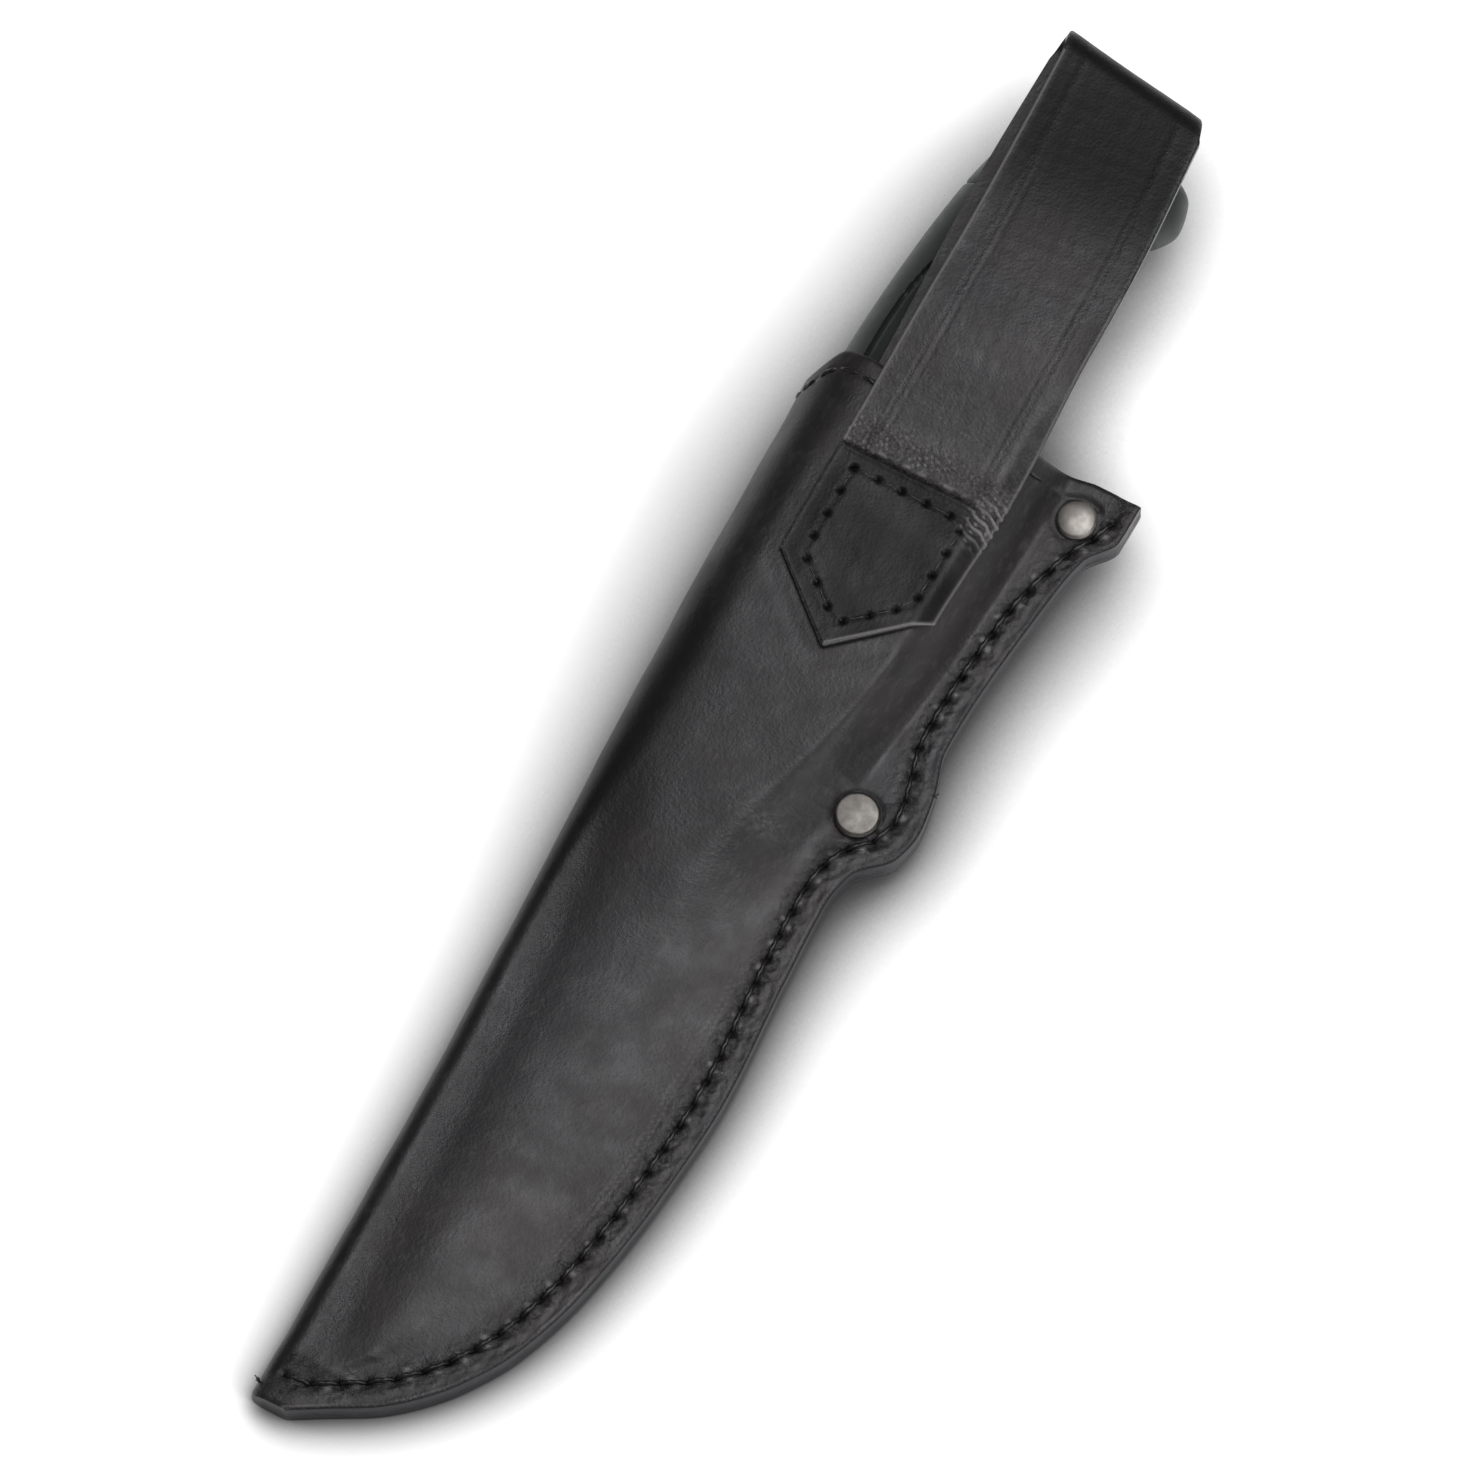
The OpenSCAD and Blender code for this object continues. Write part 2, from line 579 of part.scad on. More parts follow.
module grip() {
    color(moulded) at_rest() difference() {
        skinned([for (y = grip_ys) grip_ring(y)]);
        inlay_space(1);
        inlay_space(-1);
        translate([tang_x - tang_w / 2, grip_y - 1, -blade_t / 2])
            cube([tang_w, tang_end - grip_y + 2, blade_t]);
        translate([tang_x, tang_end, 0]) rotate([-90, 0, 0])
            cylinder(d = rod_d, h = pommel_y - tang_end + 1, $fn = 32);
        pin_holes();
    }
}

module inlay(side) {
    color(rubber) at_rest() difference() {
        intersection() {
            skinned([for (y = grip_ys) grip_ring(y)]);
            inlay_space(side);
        }
        pin_holes();
    }
}

module back_inlay() {
    inlay(1);
}

module front_inlay() {
    inlay(-1);
}

module grip_pins() {
    color(nickel) at_rest() for (y = pin_ys)
        translate([tang_x, y, 0])
            cylinder(d = pin_d, h = 2 * (along(grip_depth, y) - pin_sink), center = true, $fn = 32);
}

module pommel() {
    color(moulded) at_rest() difference() {
        skinned([for (y = pommel_ys) grip_ring(y)]);
        translate([tang_x, pommel_y - 1, 0]) rotate([-90, 0, 0])
            cylinder(d = rod_d, h = butt_y - pommel_y, $fn = 32);
        translate([tang_x, nut_y, 0]) rotate([-90, 0, 0])
            cylinder(d = nut_d, h = butt_y - nut_y + 1, $fn = 32);
        translate([lanyard_at.x, lanyard_at.y, 0])
            cylinder(d = lanyard_d + 2 * lanyard_wall, h = 4 * grip_half, center = true, $fn = 48);
    }
}

module pommel_nut() {
    nut_h = 5;
    slot_w = 1.2;
    color(steel) at_rest() translate([tang_x, nut_y, 0]) rotate([-90, 0, 0]) difference() {
        cylinder(d = nut_d, h = nut_h, $fn = 32);
        translate([0, 0, -1]) cylinder(d = rod_d, h = rod_end - nut_y + 1, $fn = 32);
        translate([-nut_d, -slot_w / 2, nut_h - 1]) cube([2 * nut_d, slot_w, 2]);
    }
}

module lanyard_tube() {
    length = 2 * (along(grip_depth, lanyard_at.y) - lanyard_sink);
    color(nickel) at_rest() translate([lanyard_at.x, lanyard_at.y, 0]) difference() {
        cylinder(d = lanyard_d + 2 * lanyard_wall, h = length, center = true, $fn = 48);
        cylinder(d = lanyard_d, h = length + 2, center = true, $fn = 48);
    }
}

pouch();
welt();
belt_loop();
seam_thread();
mouth_thread();
tab_thread();
rivet_cap(swell_rivet, swell_rivet_d);  // swell_rivet_cap
rivet_stud(swell_rivet, swell_rivet_d);  // swell_rivet_stud
rivet_cap(mouth_rivet, mouth_rivet_d);  // mouth_rivet_cap
rivet_stud(mouth_rivet, mouth_rivet_d);  // mouth_rivet_stud
blade();
guard();
guard_spacer();
grip();
back_inlay();
front_inlay();
grip_pins();
pommel();
pommel_nut();
lanyard_tube();
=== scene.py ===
import json
import math
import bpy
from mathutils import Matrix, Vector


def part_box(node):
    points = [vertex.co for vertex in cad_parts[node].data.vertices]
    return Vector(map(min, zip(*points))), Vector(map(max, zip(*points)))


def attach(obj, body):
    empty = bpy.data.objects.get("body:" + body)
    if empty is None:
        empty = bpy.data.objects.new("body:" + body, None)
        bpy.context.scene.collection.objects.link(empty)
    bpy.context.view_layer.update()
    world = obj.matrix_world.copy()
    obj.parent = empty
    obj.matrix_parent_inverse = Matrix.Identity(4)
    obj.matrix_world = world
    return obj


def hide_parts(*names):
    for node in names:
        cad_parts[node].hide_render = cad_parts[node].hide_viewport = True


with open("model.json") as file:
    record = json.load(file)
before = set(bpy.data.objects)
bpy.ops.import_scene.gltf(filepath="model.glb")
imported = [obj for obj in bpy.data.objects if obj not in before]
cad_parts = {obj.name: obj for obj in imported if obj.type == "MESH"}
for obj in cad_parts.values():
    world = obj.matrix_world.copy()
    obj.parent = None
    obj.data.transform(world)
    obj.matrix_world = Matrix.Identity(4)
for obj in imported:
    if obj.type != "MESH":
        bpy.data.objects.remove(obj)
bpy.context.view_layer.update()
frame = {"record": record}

from types import SimpleNamespace

import bmesh
import bpy
import numpy as np
from mathutils import Matrix, Vector

# ---- Driving dimensions, in millimetres in the knife frame ----
# +Y runs from the toe to the butt, +X from the fold to the seam, +Z towards the belt-loop side.
LEATHER = 2.6
WELT_T = 2.6
SEAM_W = 11.0
SEAM_HALF = LEATHER + WELT_T / 2
TOE_Y = -2.0
POUCH_LENGTH = 256.0
BEAK_W = 74.8
TOE_DEPTH = SEAM_HALF + 0.1
STRAP_W = 36.0
STRAP_T = 2.2
BELT_GAP = 7.0
LOOP_END = 340.0
TAB_TIP = 195.0
TAB_SHOULDER = 210.0
TAB_STITCH_INSET = 5.2
TAB_STITCH_PITCH = 5.6
TAB_STITCH_DROP = 4.4
CREASE_Y = 236.5
CLIMB_RUN = 39.5
FOLD_SKEW = 0.145
SKEW_FROM = 292.0
SKEW_RUN = 43.0
LEAN = 1.0
LEAN_FROM = 298.0
LEAN_RUN = 34.0
RISER_W = 32.0
RISER_END = 199.0
RISER_FREE_FROM = 236.0
RISER_FREE_RUN = 18.0
SEWN_GAP = 0.1
GRIP_HALF = 10.4
RISER_Z = GRIP_HALF + 0.9 + STRAP_T / 2
LOOP_R = (BELT_GAP + STRAP_T) / 2
LOOP_CENTRE_Y = LOOP_END - LOOP_R - STRAP_T / 2
STITCH_PITCH = 5.9
STITCH_INSET = 5.6
THREAD_R = 0.45
MOUTH_RIVET_D = 8.8
SWELL_RIVET_D = 10.0
SEAM_BLEND = 3.0
RIVET_H = 1.7
SWELL_RIVET = (53.6, 168.6)
MOUTH_RIVET = (64.2, 247.2)
MM = 0.001

record = frame["record"]
draw_axis = record["behaviour"]["joints"][0]["axis"]
REST_TILT = math.atan2(draw_axis[2], draw_axis[1])


def curve(keys):
    """A smooth function through (t, value) key points that is level at each peak and never overshoots."""
    t = np.array([k[0] for k in keys], float)
    v = np.array([k[1] for k in keys], float)
    secant = np.diff(v) / np.diff(t)
    slope = np.empty(len(t))
    slope[0], slope[-1] = secant[0], secant[-1]
    for i in range(1, len(t) - 1):
        a, b = secant[i - 1], secant[i]
        slope[i] = 0 if a * b <= 0 else 2 * a * b / (a + b)

    def value(at):
        at = np.clip(np.asarray(at, float), t[0], t[-1])
        i = np.clip(np.searchsorted(t, at, side="right") - 1, 0, len(t) - 2)
        h = t[i + 1] - t[i]
        u = (at - t[i]) / h
        rise = v[i + 1] - v[i]
        m0, m1 = slope[i] * h, slope[i + 1] * h
        return v[i] + u * (m0 + u * (3 * rise - 2 * m0 - m1 + u * (m0 + m1 - 2 * rise)))

    return value


def mix(a, b, t):
    return a + (b - a) * t


def ease(t):
    t = np.clip(t, 0, 1)
    return t * t * (3 - 2 * t)


def bump(distance, width):
    return np.exp(-((distance / width) ** 2))


def bevel(distance, width):
    """1 at an edge, falling in a curve to 0 at the bevel's width."""
    return np.clip(1 - distance / width, 0, 1) ** 2


def ripple(x, y, size, seed, waves=7):
    """Smooth seeded waviness between about -1 and 1, with features of about that size."""
    rng = np.random.default_rng(seed)
    total = np.zeros(np.broadcast(x, y).shape)
    for _ in range(waves):
        angle, phase = rng.uniform(0, math.tau, 2)
        k = math.tau / (size * rng.uniform(0.8, 1.8))
        total = total + np.sin(k * (x * math.cos(angle) + y * math.sin(angle)) + phase)
    return total / math.sqrt(waves)


# ---- Placing: from the knife frame to the row frame ----
pouch_low, pouch_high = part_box("pouch")
TILT_C, TILT_S = math.cos(REST_TILT), math.sin(REST_TILT)
SHIFT = np.array([
    pouch_high[0] / MM - BEAK_W,
    pouch_low[1] / MM - (TOE_Y * TILT_C - SEAM_HALF * TILT_S),
    TOE_DEPTH * TILT_C,
])


def placed(points):
    p = np.asarray(points, float)
    x, y, z = p[..., 0], p[..., 1], p[..., 2]
    return (np.stack([x, y * TILT_C - z * TILT_S, y * TILT_S + z * TILT_C], -1) + SHIFT) * MM


# ---- Outlines and section heights, with the CAD's curves ----
fold_x = curve([(TOE_Y, 0.4), (20, 1), (80, 1), (122, 0), (182, -1), (POUCH_LENGTH, -1)])
edge_x = curve([(TOE_Y, 9), (2, 16), (8, 26.4), (14, 33.4), (20, 38.7), (32, 46), (50, 52), (74, 56.2),
                (102, 58.4), (128, 57.2), (148, 56.7), (156, 58.2), (164, 65.4), (171, 67), (180, 65.9),
                (190, 63.4), (230, 67.4), (240, 69.6), (247, BEAK_W - 0.4), (POUCH_LENGTH, BEAK_W)])
welt_reach = curve([(TOE_Y, 60), (150, 56), (163, 49), (177, 49), (200, 53), (POUCH_LENGTH, 57)])
back_crown = curve([(TOE_Y, SEAM_HALF), (40, 5.2), (110, 5.4), (166, 11.4), (200, 14.9), (234, 16.2),
                    (POUCH_LENGTH, 16.4)])
front_crown = curve([(TOE_Y, SEAM_HALF), (40, 5.2), (112, 5.4), (166, 12), (200, 13.8),
                     (POUCH_LENGTH, 13.8)])
seam_height = curve([(TOE_Y, 0), (112, 0), (150, 0.4), (POUCH_LENGTH, 3)])
fold_radius = curve([(TOE_Y, 3.9), (30, 5.6), (120, 6), (180, 12), (POUCH_LENGTH, 14)])
back_shoulder = curve([(TOE_Y, 18), (120, 22), (200, 45), (POUCH_LENGTH, 48)])
front_shoulder = curve([(TOE_Y, 18), (120, 22), (180, 24), (POUCH_LENGTH, 24)])
seam_inset = curve([(0, STITCH_INSET), (222, STITCH_INSET), (240, 3.4), (POUCH_LENGTH, 3.4)])
strap_left = curve([(TAB_TIP, 13.4), (TAB_SHOULDER, 13.4), (240, 14.2), (300, 15.8), (LOOP_END, 15.2)])
strap_width = curve([(TAB_SHOULDER, STRAP_W), (242, STRAP_W + 1.2), (285, STRAP_W + 0.8),
                     (LOOP_END, STRAP_W - 1)])
riser_left = curve([(200, 12.4), (262, 12.3), (300, 11.6), (LOOP_END, 12.8)])
FOLD_POWER = 2.2
MOUTH_SHAPED_FROM = 214.0
MOUTH_STEP = 7.0
MOUTH_STEP_W = 6.5
MOUTH_DIP = 3.0
MOUTH_DIP_X = (12.0, 64.0)
PANEL_SMOOTHING = (-12, -8, -4, 0, 4, 8, 12)
MOUTH_STITCH_INSET = 4.5


def edge_stretch(y):
    return np.sqrt(1 + edge_slope(y) ** 2)


def edge_slope(y):
    return edge_x(np.asarray(y) + 0.5) - edge_x(np.asarray(y) - 0.5)


def crown_x(y):
    return fold_x(y) + fold_radius(y)


def welt_x(y):
    return np.maximum(crown_x(y) + 0.5, np.minimum(edge_x(y) - SEAM_W * edge_stretch(y), welt_reach(y)))


def panel_end(y):
    """Where the back panel has come down to the seam, smoothed along the edge."""
    near = [welt_x(y + step) for step in PANEL_SMOOTHING]
    return sum(near) / len(near)


def floor_depth(y):
    return TOE_DEPTH + y * math.tan(REST_TILT)


def front_of(y):
    return np.minimum(front_crown(y), floor_depth(y))


def fold_centre(y):
    return (back_crown(y) - front_of(y)) / 2


def fold_round(x, y, depth):
    u = np.clip((x - fold_x(y) - depth) / (fold_radius(y) - depth), 0, 1)
    return (1 - (1 - u) ** FOLD_POWER) ** (1 / FOLD_POWER)


def back_z(x, y, depth=0.0):
    end = panel_end(y)
    start = np.minimum(back_shoulder(y), end - 1)
    drop = ease((x - start) / (end + SEAM_BLEND - start))
    top = mix(back_crown(y), seam_height(y) + SEAM_HALF, drop) - depth
    return mix(fold_centre(y), top, fold_round(x, y, depth))


def front_z(x, y, depth=0.0):
    start = np.minimum(front_shoulder(y), welt_x(y) - 1)
    drop = np.clip((x - start) / (welt_x(y) - start), 0, 1) ** 3
    low = mix(-front_of(y), seam_height(y) - SEAM_HALF, drop) + depth
    low = np.maximum(low, depth - floor_depth(shaped_y(x, y)))
    return mix(fold_centre(y), low, fold_round(x, y, depth))


def mouth_offset(x):
    """The mouth's edge steps back at the fold and has a shallow dip."""
    low, high = MOUTH_DIP_X
    step = MOUTH_STEP * (1 - ease((x + 1) / MOUTH_STEP_W))
    return -step - MOUTH_DIP * np.sin(math.pi * np.clip((x - low) / (high - low), 0, 1))


def shaped_y(x, y):
    return y + mouth_offset(x) * ease((y - MOUTH_SHAPED_FROM) / (POUCH_LENGTH - MOUTH_SHAPED_FROM))


# ---- Meshes ----
def linked(name, data):
    obj = bpy.data.objects.new(name, data)
    bpy.context.scene.collection.objects.link(obj)
    return obj


def new_object(name, vertices, faces, sharp_deg=38):
    mesh = bpy.data.meshes.new(name)
    mesh.from_pydata([tuple(v) for v in vertices], [], faces)
    shape = bmesh.new()
    shape.from_mesh(mesh)
    bmesh.ops.recalc_face_normals(shape, faces=shape.faces)
    shape.to_mesh(mesh)
    shape.free()
    mesh.shade_smooth()
    mesh.set_sharp_from_angle(angle=math.radians(sharp_deg))
    return linked(name, mesh)


def quads(rows, cols, first, flip):
    i, j = np.meshgrid(np.arange(rows - 1), np.arange(cols - 1), indexing="ij")
    a = (first + i * cols + j).ravel()
    face = np.stack([a, a + 1, a + cols + 1, a + cols], 1)
    return (face[:, ::-1] if flip else face).tolist()


def shell_mesh(name, outer, inner, step):
    """A closed sheet between a fine outer grid and an inner grid of every step-th row and column."""
    rows, cols = outer.shape[:2]
    in_rows, in_cols = inner.shape[:2]
    count = rows * cols
    faces = quads(rows, cols, 0, True) + quads(in_rows, in_cols, count, False)

    def rim(outer_ids, inner_ids):
        for k in range(len(inner_ids) - 1):
            run = [outer_ids[k * step + m] for m in range(step + 1)]
            faces.append(run + [inner_ids[k + 1], inner_ids[k]])

    grid = np.arange(count).reshape(rows, cols)
    small = (count + np.arange(in_rows * in_cols)).reshape(in_rows, in_cols)
    rim(grid[0], small[0])
    rim(grid[:, -1], small[:, -1])
    rim(grid[-1][::-1], small[-1][::-1])
    rim(grid[:, 0][::-1], small[:, 0][::-1])
    return new_object(name, placed(np.concatenate([outer.reshape(-1, 3), inner.reshape(-1, 3)])), faces)


def ring_faces(rows, n, base=0, cap=True):
    """Faces that skin a stack of closed rings."""
    faces = []
    for i in range(rows - 1):
        for j in range(n):
            a, b = base + i * n + j, base + i * n + (j + 1) % n
            faces.append([a, a + n, b + n, b])
    if cap:
        faces.append([base + j for j in range(n)])
        faces.append([base + (rows - 1) * n + j for j in reversed(range(n))])
    return faces


def loft_mesh(name, rings, sharp_deg=38, cap=True):
    """A closed solid skinned over an array of rings."""
    return new_object(name, placed(rings.reshape(-1, 3)), ring_faces(*rings.shape[:2], cap=cap), sharp_deg)


def grid_normals(grid):
    du = np.gradient(grid, axis=1)
    dv = np.gradient(grid, axis=0)
    n = np.cross(du, dv)
    return n / np.maximum(np.linalg.norm(n, axis=-1, keepdims=True), 1e-9)


def paint(obj, name, values):
    """A per-vertex attribute from 0 to 1 that a material reads."""
    layer = obj.data.attributes.new(name, "FLOAT", "POINT")
    full = np.zeros(len(obj.data.vertices), np.float32)
    full[: values.size] = np.clip(values, 0, 1).ravel()
    layer.data.foreach_set("value", full)


def dressed(obj, body, slot, material, *nodes):
    obj.data.materials.append(material)
    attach(obj, body)
    if nodes:
        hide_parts(*nodes)
    return obj


# ---- Materials ----
class Graph:
    """A small builder for one Principled material."""

    def __init__(self, name, **values):
        self.material = bpy.data.materials.new(name)
        self.material.use_nodes = True
        self.tree = self.material.node_tree
        self.shader = self.tree.nodes["Principled BSDF"]
        self.coords = self.tree.nodes.new("ShaderNodeTexCoord").outputs["Object"]
        for key, value in values.items():
            self.shader.inputs[key.replace("_", " ")].default_value = value

    def add(self, kind, inputs=(), **settings):
        node = self.tree.nodes.new("ShaderNode" + kind)
        for key, value in settings.items():
            setattr(node, key, value)
        for key, value in dict(inputs).items():
            self.put(node.inputs[key], value)
        return node

    def put(self, socket, value):
        if isinstance(value, bpy.types.NodeSocket):
            self.tree.links.new(value, socket)
        else:
            socket.default_value = value

    def noise(self, scale, detail=4.0, roughness=0.55, vector=None, distortion=0.0):
        return self.add("TexNoise", {"Vector": vector or self.coords, "Scale": scale, "Detail": detail,
                                     "Roughness": roughness, "Distortion": distortion}).outputs[0]

    def stretched(self, x, y, z):
        return self.add("Mapping", {"Vector": self.coords, "Scale": (x, y, z)}).outputs[0]

    def math(self, operation, a, b):
        return self.add("Math", {0: a, 1: b}, operation=operation).outputs[0]

    def ramp(self, value, low, high, start=0.0, end=1.0):
        return self.add("MapRange", {0: value, 1: low, 2: high, 3: start, 4: end}).outputs[0]

    def blend(self, factor, a, b):
        return self.add("Mix", {0: factor, 6: a, 7: b}, data_type="RGBA").outputs[2]

    def attribute(self, name):
        return self.add("Attribute", attribute_name=name).outputs["Fac"]

    def surface(self, colour, roughness):
        self.put(self.shader.inputs["Base Color"], colour)
        self.put(self.shader.inputs["Roughness"], roughness)

    def bumps(self, layers):
        """Stacks (height, strength, distance in metres) layers into one normal."""
        normal = None
        for height, strength, distance in layers:
            inputs = {"Height": height, "Strength": strength, "Distance": distance}
            if normal is not None:
                inputs["Normal"] = normal
            normal = self.add("Bump", inputs).outputs[0]
        self.put(self.shader.inputs["Normal"], normal)


def leather_material():
    """Burnished leather; the mesh says where it is worn or glossy, where a cut edge is, and where painted
    shade, painted shade in holes and grooves, and painted highlights go; some of the wear lightening is
    painted highlight too.
    """
    g = Graph("black leather")
    dark, warm, worn = (0.0095, 0.0095, 0.0112, 1), (0.019, 0.0145, 0.0145, 1), (0.070, 0.064, 0.062, 1)
    # The cut colour is the cut edge's own; the near black is for painted shade and the light grey for
    # painted highlights and scuff streaks
    cut, shade_black, highlight_and_scuff_grey = (0.016, 0.018, 0.023, 1), (0.006, 0.006, 0.006, 1), (0.21, 0.20, 0.20, 1)
    # Painted shade: where the mesh marks it, the specular weakens and the colour goes towards near black
    painted_shade = g.attribute("painted_shade")
    g.put(g.shader.inputs["Specular IOR Level"], g.ramp(painted_shade, 0, 1, 0.5, 0.20))
    clouds = g.noise(30, 5, 0.6)
    fibres = g.noise(640, 3, 0.6, vector=g.stretched(1.0, 0.45, 1.0))
    base = g.blend(g.ramp(clouds, 0.42, 0.66), dark, warm)
    base = g.blend(g.ramp(fibres, 0.52, 0.75, 0, 0.40), base, worn)
    # Painted shade and painted shade in holes and grooves take the colour towards near black
    base = g.blend(g.math("MAXIMUM", g.attribute("painted_hollow_shade"), painted_shade), base, shade_black)
    flecks = g.ramp(g.noise(1500, 3, 0.7), 0.46, 0.62)
    # Wear flecks; along the seam's groove and rim ridge, the crease line and the puckers this lightening is
    # painted highlight
    base = g.blend(g.math("MULTIPLY", g.attribute("wear"), flecks), base, worn)
    base = g.blend(g.attribute("cut_edge"), base, cut)
    # Painted highlights: glints by the stitches, light lines along edges, glints on the crease and its
    # puckers; also real scuff streaks
    base = g.blend(g.attribute("painted_highlights_and_scuffs"), base, highlight_and_scuff_grey)
    gloss = g.attribute("burnish")
    rough = g.ramp(g.noise(120, 4, 0.6), 0.3, 0.7, 0.38, 0.50)
    g.surface(base, g.math("SUBTRACT", rough, g.math("MULTIPLY", gloss, 0.16)))
    cells = g.add("TexVoronoi", {"Vector": g.coords, "Scale": 1500.0, "Randomness": 1.0},
                  feature="SMOOTH_F1").outputs["Distance"]
    pores = g.noise(3000, 2, 0.5)
    creases = g.noise(300, 4, 0.7, distortion=1.5)
    crumble = g.math("MULTIPLY", gloss, g.noise(1100, 4, 0.75))
    g.bumps([(creases, 0.2, 0.00020), (fibres, 0.25, 0.00012), (cells, 0.3, 0.00012),
             (pores, 0.3, 0.00008), (crumble, 0.8, 0.00045)])
    return g.material


def edge_material():
    g = Graph("waxed leather edge", Specular_IOR_Level=0.3)
    layers = g.noise(700, 3, 0.6, vector=g.stretched(0.25, 0.25, 1.6))
    base = g.blend(g.ramp(layers, 0.35, 0.7), (0.008, 0.0085, 0.011, 1), (0.022, 0.0235, 0.029, 1))
    g.surface(base, g.ramp(g.noise(240, 3, 0.6), 0.3, 0.7, 0.3, 0.5))
    g.bumps([(layers, 0.35, 0.0002), (g.noise(1800, 2, 0.5), 0.2, 0.00008)])
    return g.material


def thread_material():
    g = Graph("waxed black thread")
    fuzz = g.noise(3200, 3, 0.6)
    g.surface(g.blend(fuzz, (0.004, 0.004, 0.004, 1), (0.014, 0.014, 0.015, 1)), 0.3)
    g.bumps([(fuzz, 0.5, 0.00012)])
    return g.material


def nickel_material(name, dark, light):
    g = Graph(name, Metallic=1.0)
    wear = g.noise(650, 4, 0.65)
    base = g.blend(g.ramp(wear, 0.35, 0.7), dark, light)
    g.surface(base, g.ramp(g.noise(380, 4, 0.6), 0.3, 0.7, 0.36, 0.50))
    scratches = g.noise(900, 2, 0.5, vector=g.stretched(0.2, 3.0, 1.0))
    g.bumps([(wear, 0.12, 0.00015), (scratches, 0.08, 0.00006)])
    return g.material


def steel_material():
    g = Graph("satin ground steel", Metallic=1.0)
    grinding = g.noise(520, 3, 0.6, vector=g.stretched(0.18, 5.0, 1.0))
    base = g.blend(g.ramp(grinding, 0.3, 0.7), (0.42, 0.42, 0.43, 1), (0.56, 0.56, 0.565, 1))
    g.surface(base, g.ramp(g.noise(70, 4, 0.6), 0.3, 0.7, 0.27, 0.4))
    g.bumps([(grinding, 0.12, 0.00006)])
    return g.material


def polymer_material(name, dark, light, level, scale, finish, rough_low, rough_high, grain, strength):
    """Moulded plastic or rubber: faint clouds of colour and a fine moulded grain."""
    g = Graph(name, Specular_IOR_Level=level)
    base = g.blend(g.ramp(g.noise(scale, 4, 0.6), 0.35, 0.7), dark, light)
    g.surface(base, g.ramp(g.noise(finish, 3, 0.6), 0.3, 0.7, rough_low, rough_high))
    g.bumps([(g.noise(grain, 3, 0.6), strength, 0.0001)])
    return g.material


def floor_material():
    """Pale glowing paper with a painted shadow, darkened by ambient occlusion, wherever something stands on
    it.
    """
    g = Graph("pale floor", Specular_IOR_Level=0.0, Emission_Strength=0.80)
    shade = g.add("AmbientOcclusion", {"Distance": 0.034}, samples=16).outputs["AO"]
    # Painted shadow: the paper's colour and glow darken near anything standing on it
    paper_with_painted_shadow = g.ramp(shade, 0.36, 0.97)
    paper_with_painted_shadow = g.blend(g.math("POWER", paper_with_painted_shadow, 1.8), (0.05, 0.05, 0.05, 1), (0.95, 0.95, 0.95, 1))
    g.surface(paper_with_painted_shadow, 0.9)
    g.put(g.shader.inputs["Emission Color"], paper_with_painted_shadow)
    return g.material


BLACK_LEATHER = leather_material()
LEATHER_EDGE = edge_material()
THREAD = thread_material()
NICKEL = nickel_material("satin nickel", (0.25, 0.237, 0.215, 1), (0.34, 0.325, 0.30, 1))
# A darker copy of the satin nickel for the swell rivet's head: painted shade
SHADED_NICKEL = nickel_material("shaded nickel", (0.15, 0.142, 0.128, 1), (0.21, 0.20, 0.185, 1))
STEEL = steel_material()
MOULDED = polymer_material("moulded grip plastic", (0.030, 0.036, 0.034, 1), (0.040, 0.047, 0.044, 1),
                           0.45, 60, 300, 0.46, 0.58, 1500, 0.3)
RUBBER = polymer_material("grip rubber", (0.014, 0.016, 0.0155, 1), (0.022, 0.025, 0.024, 1),
                          0.4, 80, 400, 0.6, 0.75, 1900, 0.35)


# ---- Stitch holes ----
def distance_to(x, y, path):
    """Distance in plan from each point to a path of straight runs."""
    best = np.full(np.shape(x), np.inf)
    for (ax, ay, *_), (bx, by, *_) in zip(path, path[1:]):
        length = (bx - ax) ** 2 + (by - ay) ** 2
        t = np.clip(((x - ax) * (bx - ax) + (y - ay) * (by - ay)) / length, 0, 1)
        best = np.minimum(best, np.hypot(x - ax - t * (bx - ax), y - ay - t * (by - ay)))
    return best


def paced(path, pitch):
    """Points at an even spacing along a path, as close to the pitch as its length allows."""
    path = np.asarray(path, float)
    s = np.concatenate([[0], np.cumsum(np.linalg.norm(np.diff(path[:, :3], axis=0), axis=1))])
    count = int(round(s[-1] / pitch))
    at = np.linspace(0, s[-1], count + 1)
    return np.stack([np.interp(at, s, path[:, k]) for k in range(path.shape[1])], 1)


def seam_point(x, y):
    return [x, y, seam_height(y) + SEAM_HALF, x, y, seam_height(y) - SEAM_HALF]


def seam_path():
    rows = [seam_point(5, 4.6)]
    for y in np.arange(0, POUCH_LENGTH - 5.9, 2):
        inset, stretch, slope = seam_inset(y), edge_stretch(y), edge_slope(y)
        rows.append(seam_point(edge_x(y) - inset / stretch, y + inset * slope / stretch))
    return np.array(rows, float)


seam_holes = paced(seam_path(), STITCH_PITCH)
seam_middles = (seam_holes[1:, :2] + seam_holes[:-1, :2]) / 2


# ---- Pouch ----
# Columns across the seam, the panel and the fold of each side; the front lies on the floor
BACK_COLS = (32, 48, 18)
FRONT_COLS = (20, 30, 14)
POUCH_ROWS = 541
THIN = 3
TOE_MARKS_Y = 8.6
SCUFF_X = 37.0
SCUFF_Y = 157.0
RIDGE_REACH = 7.8


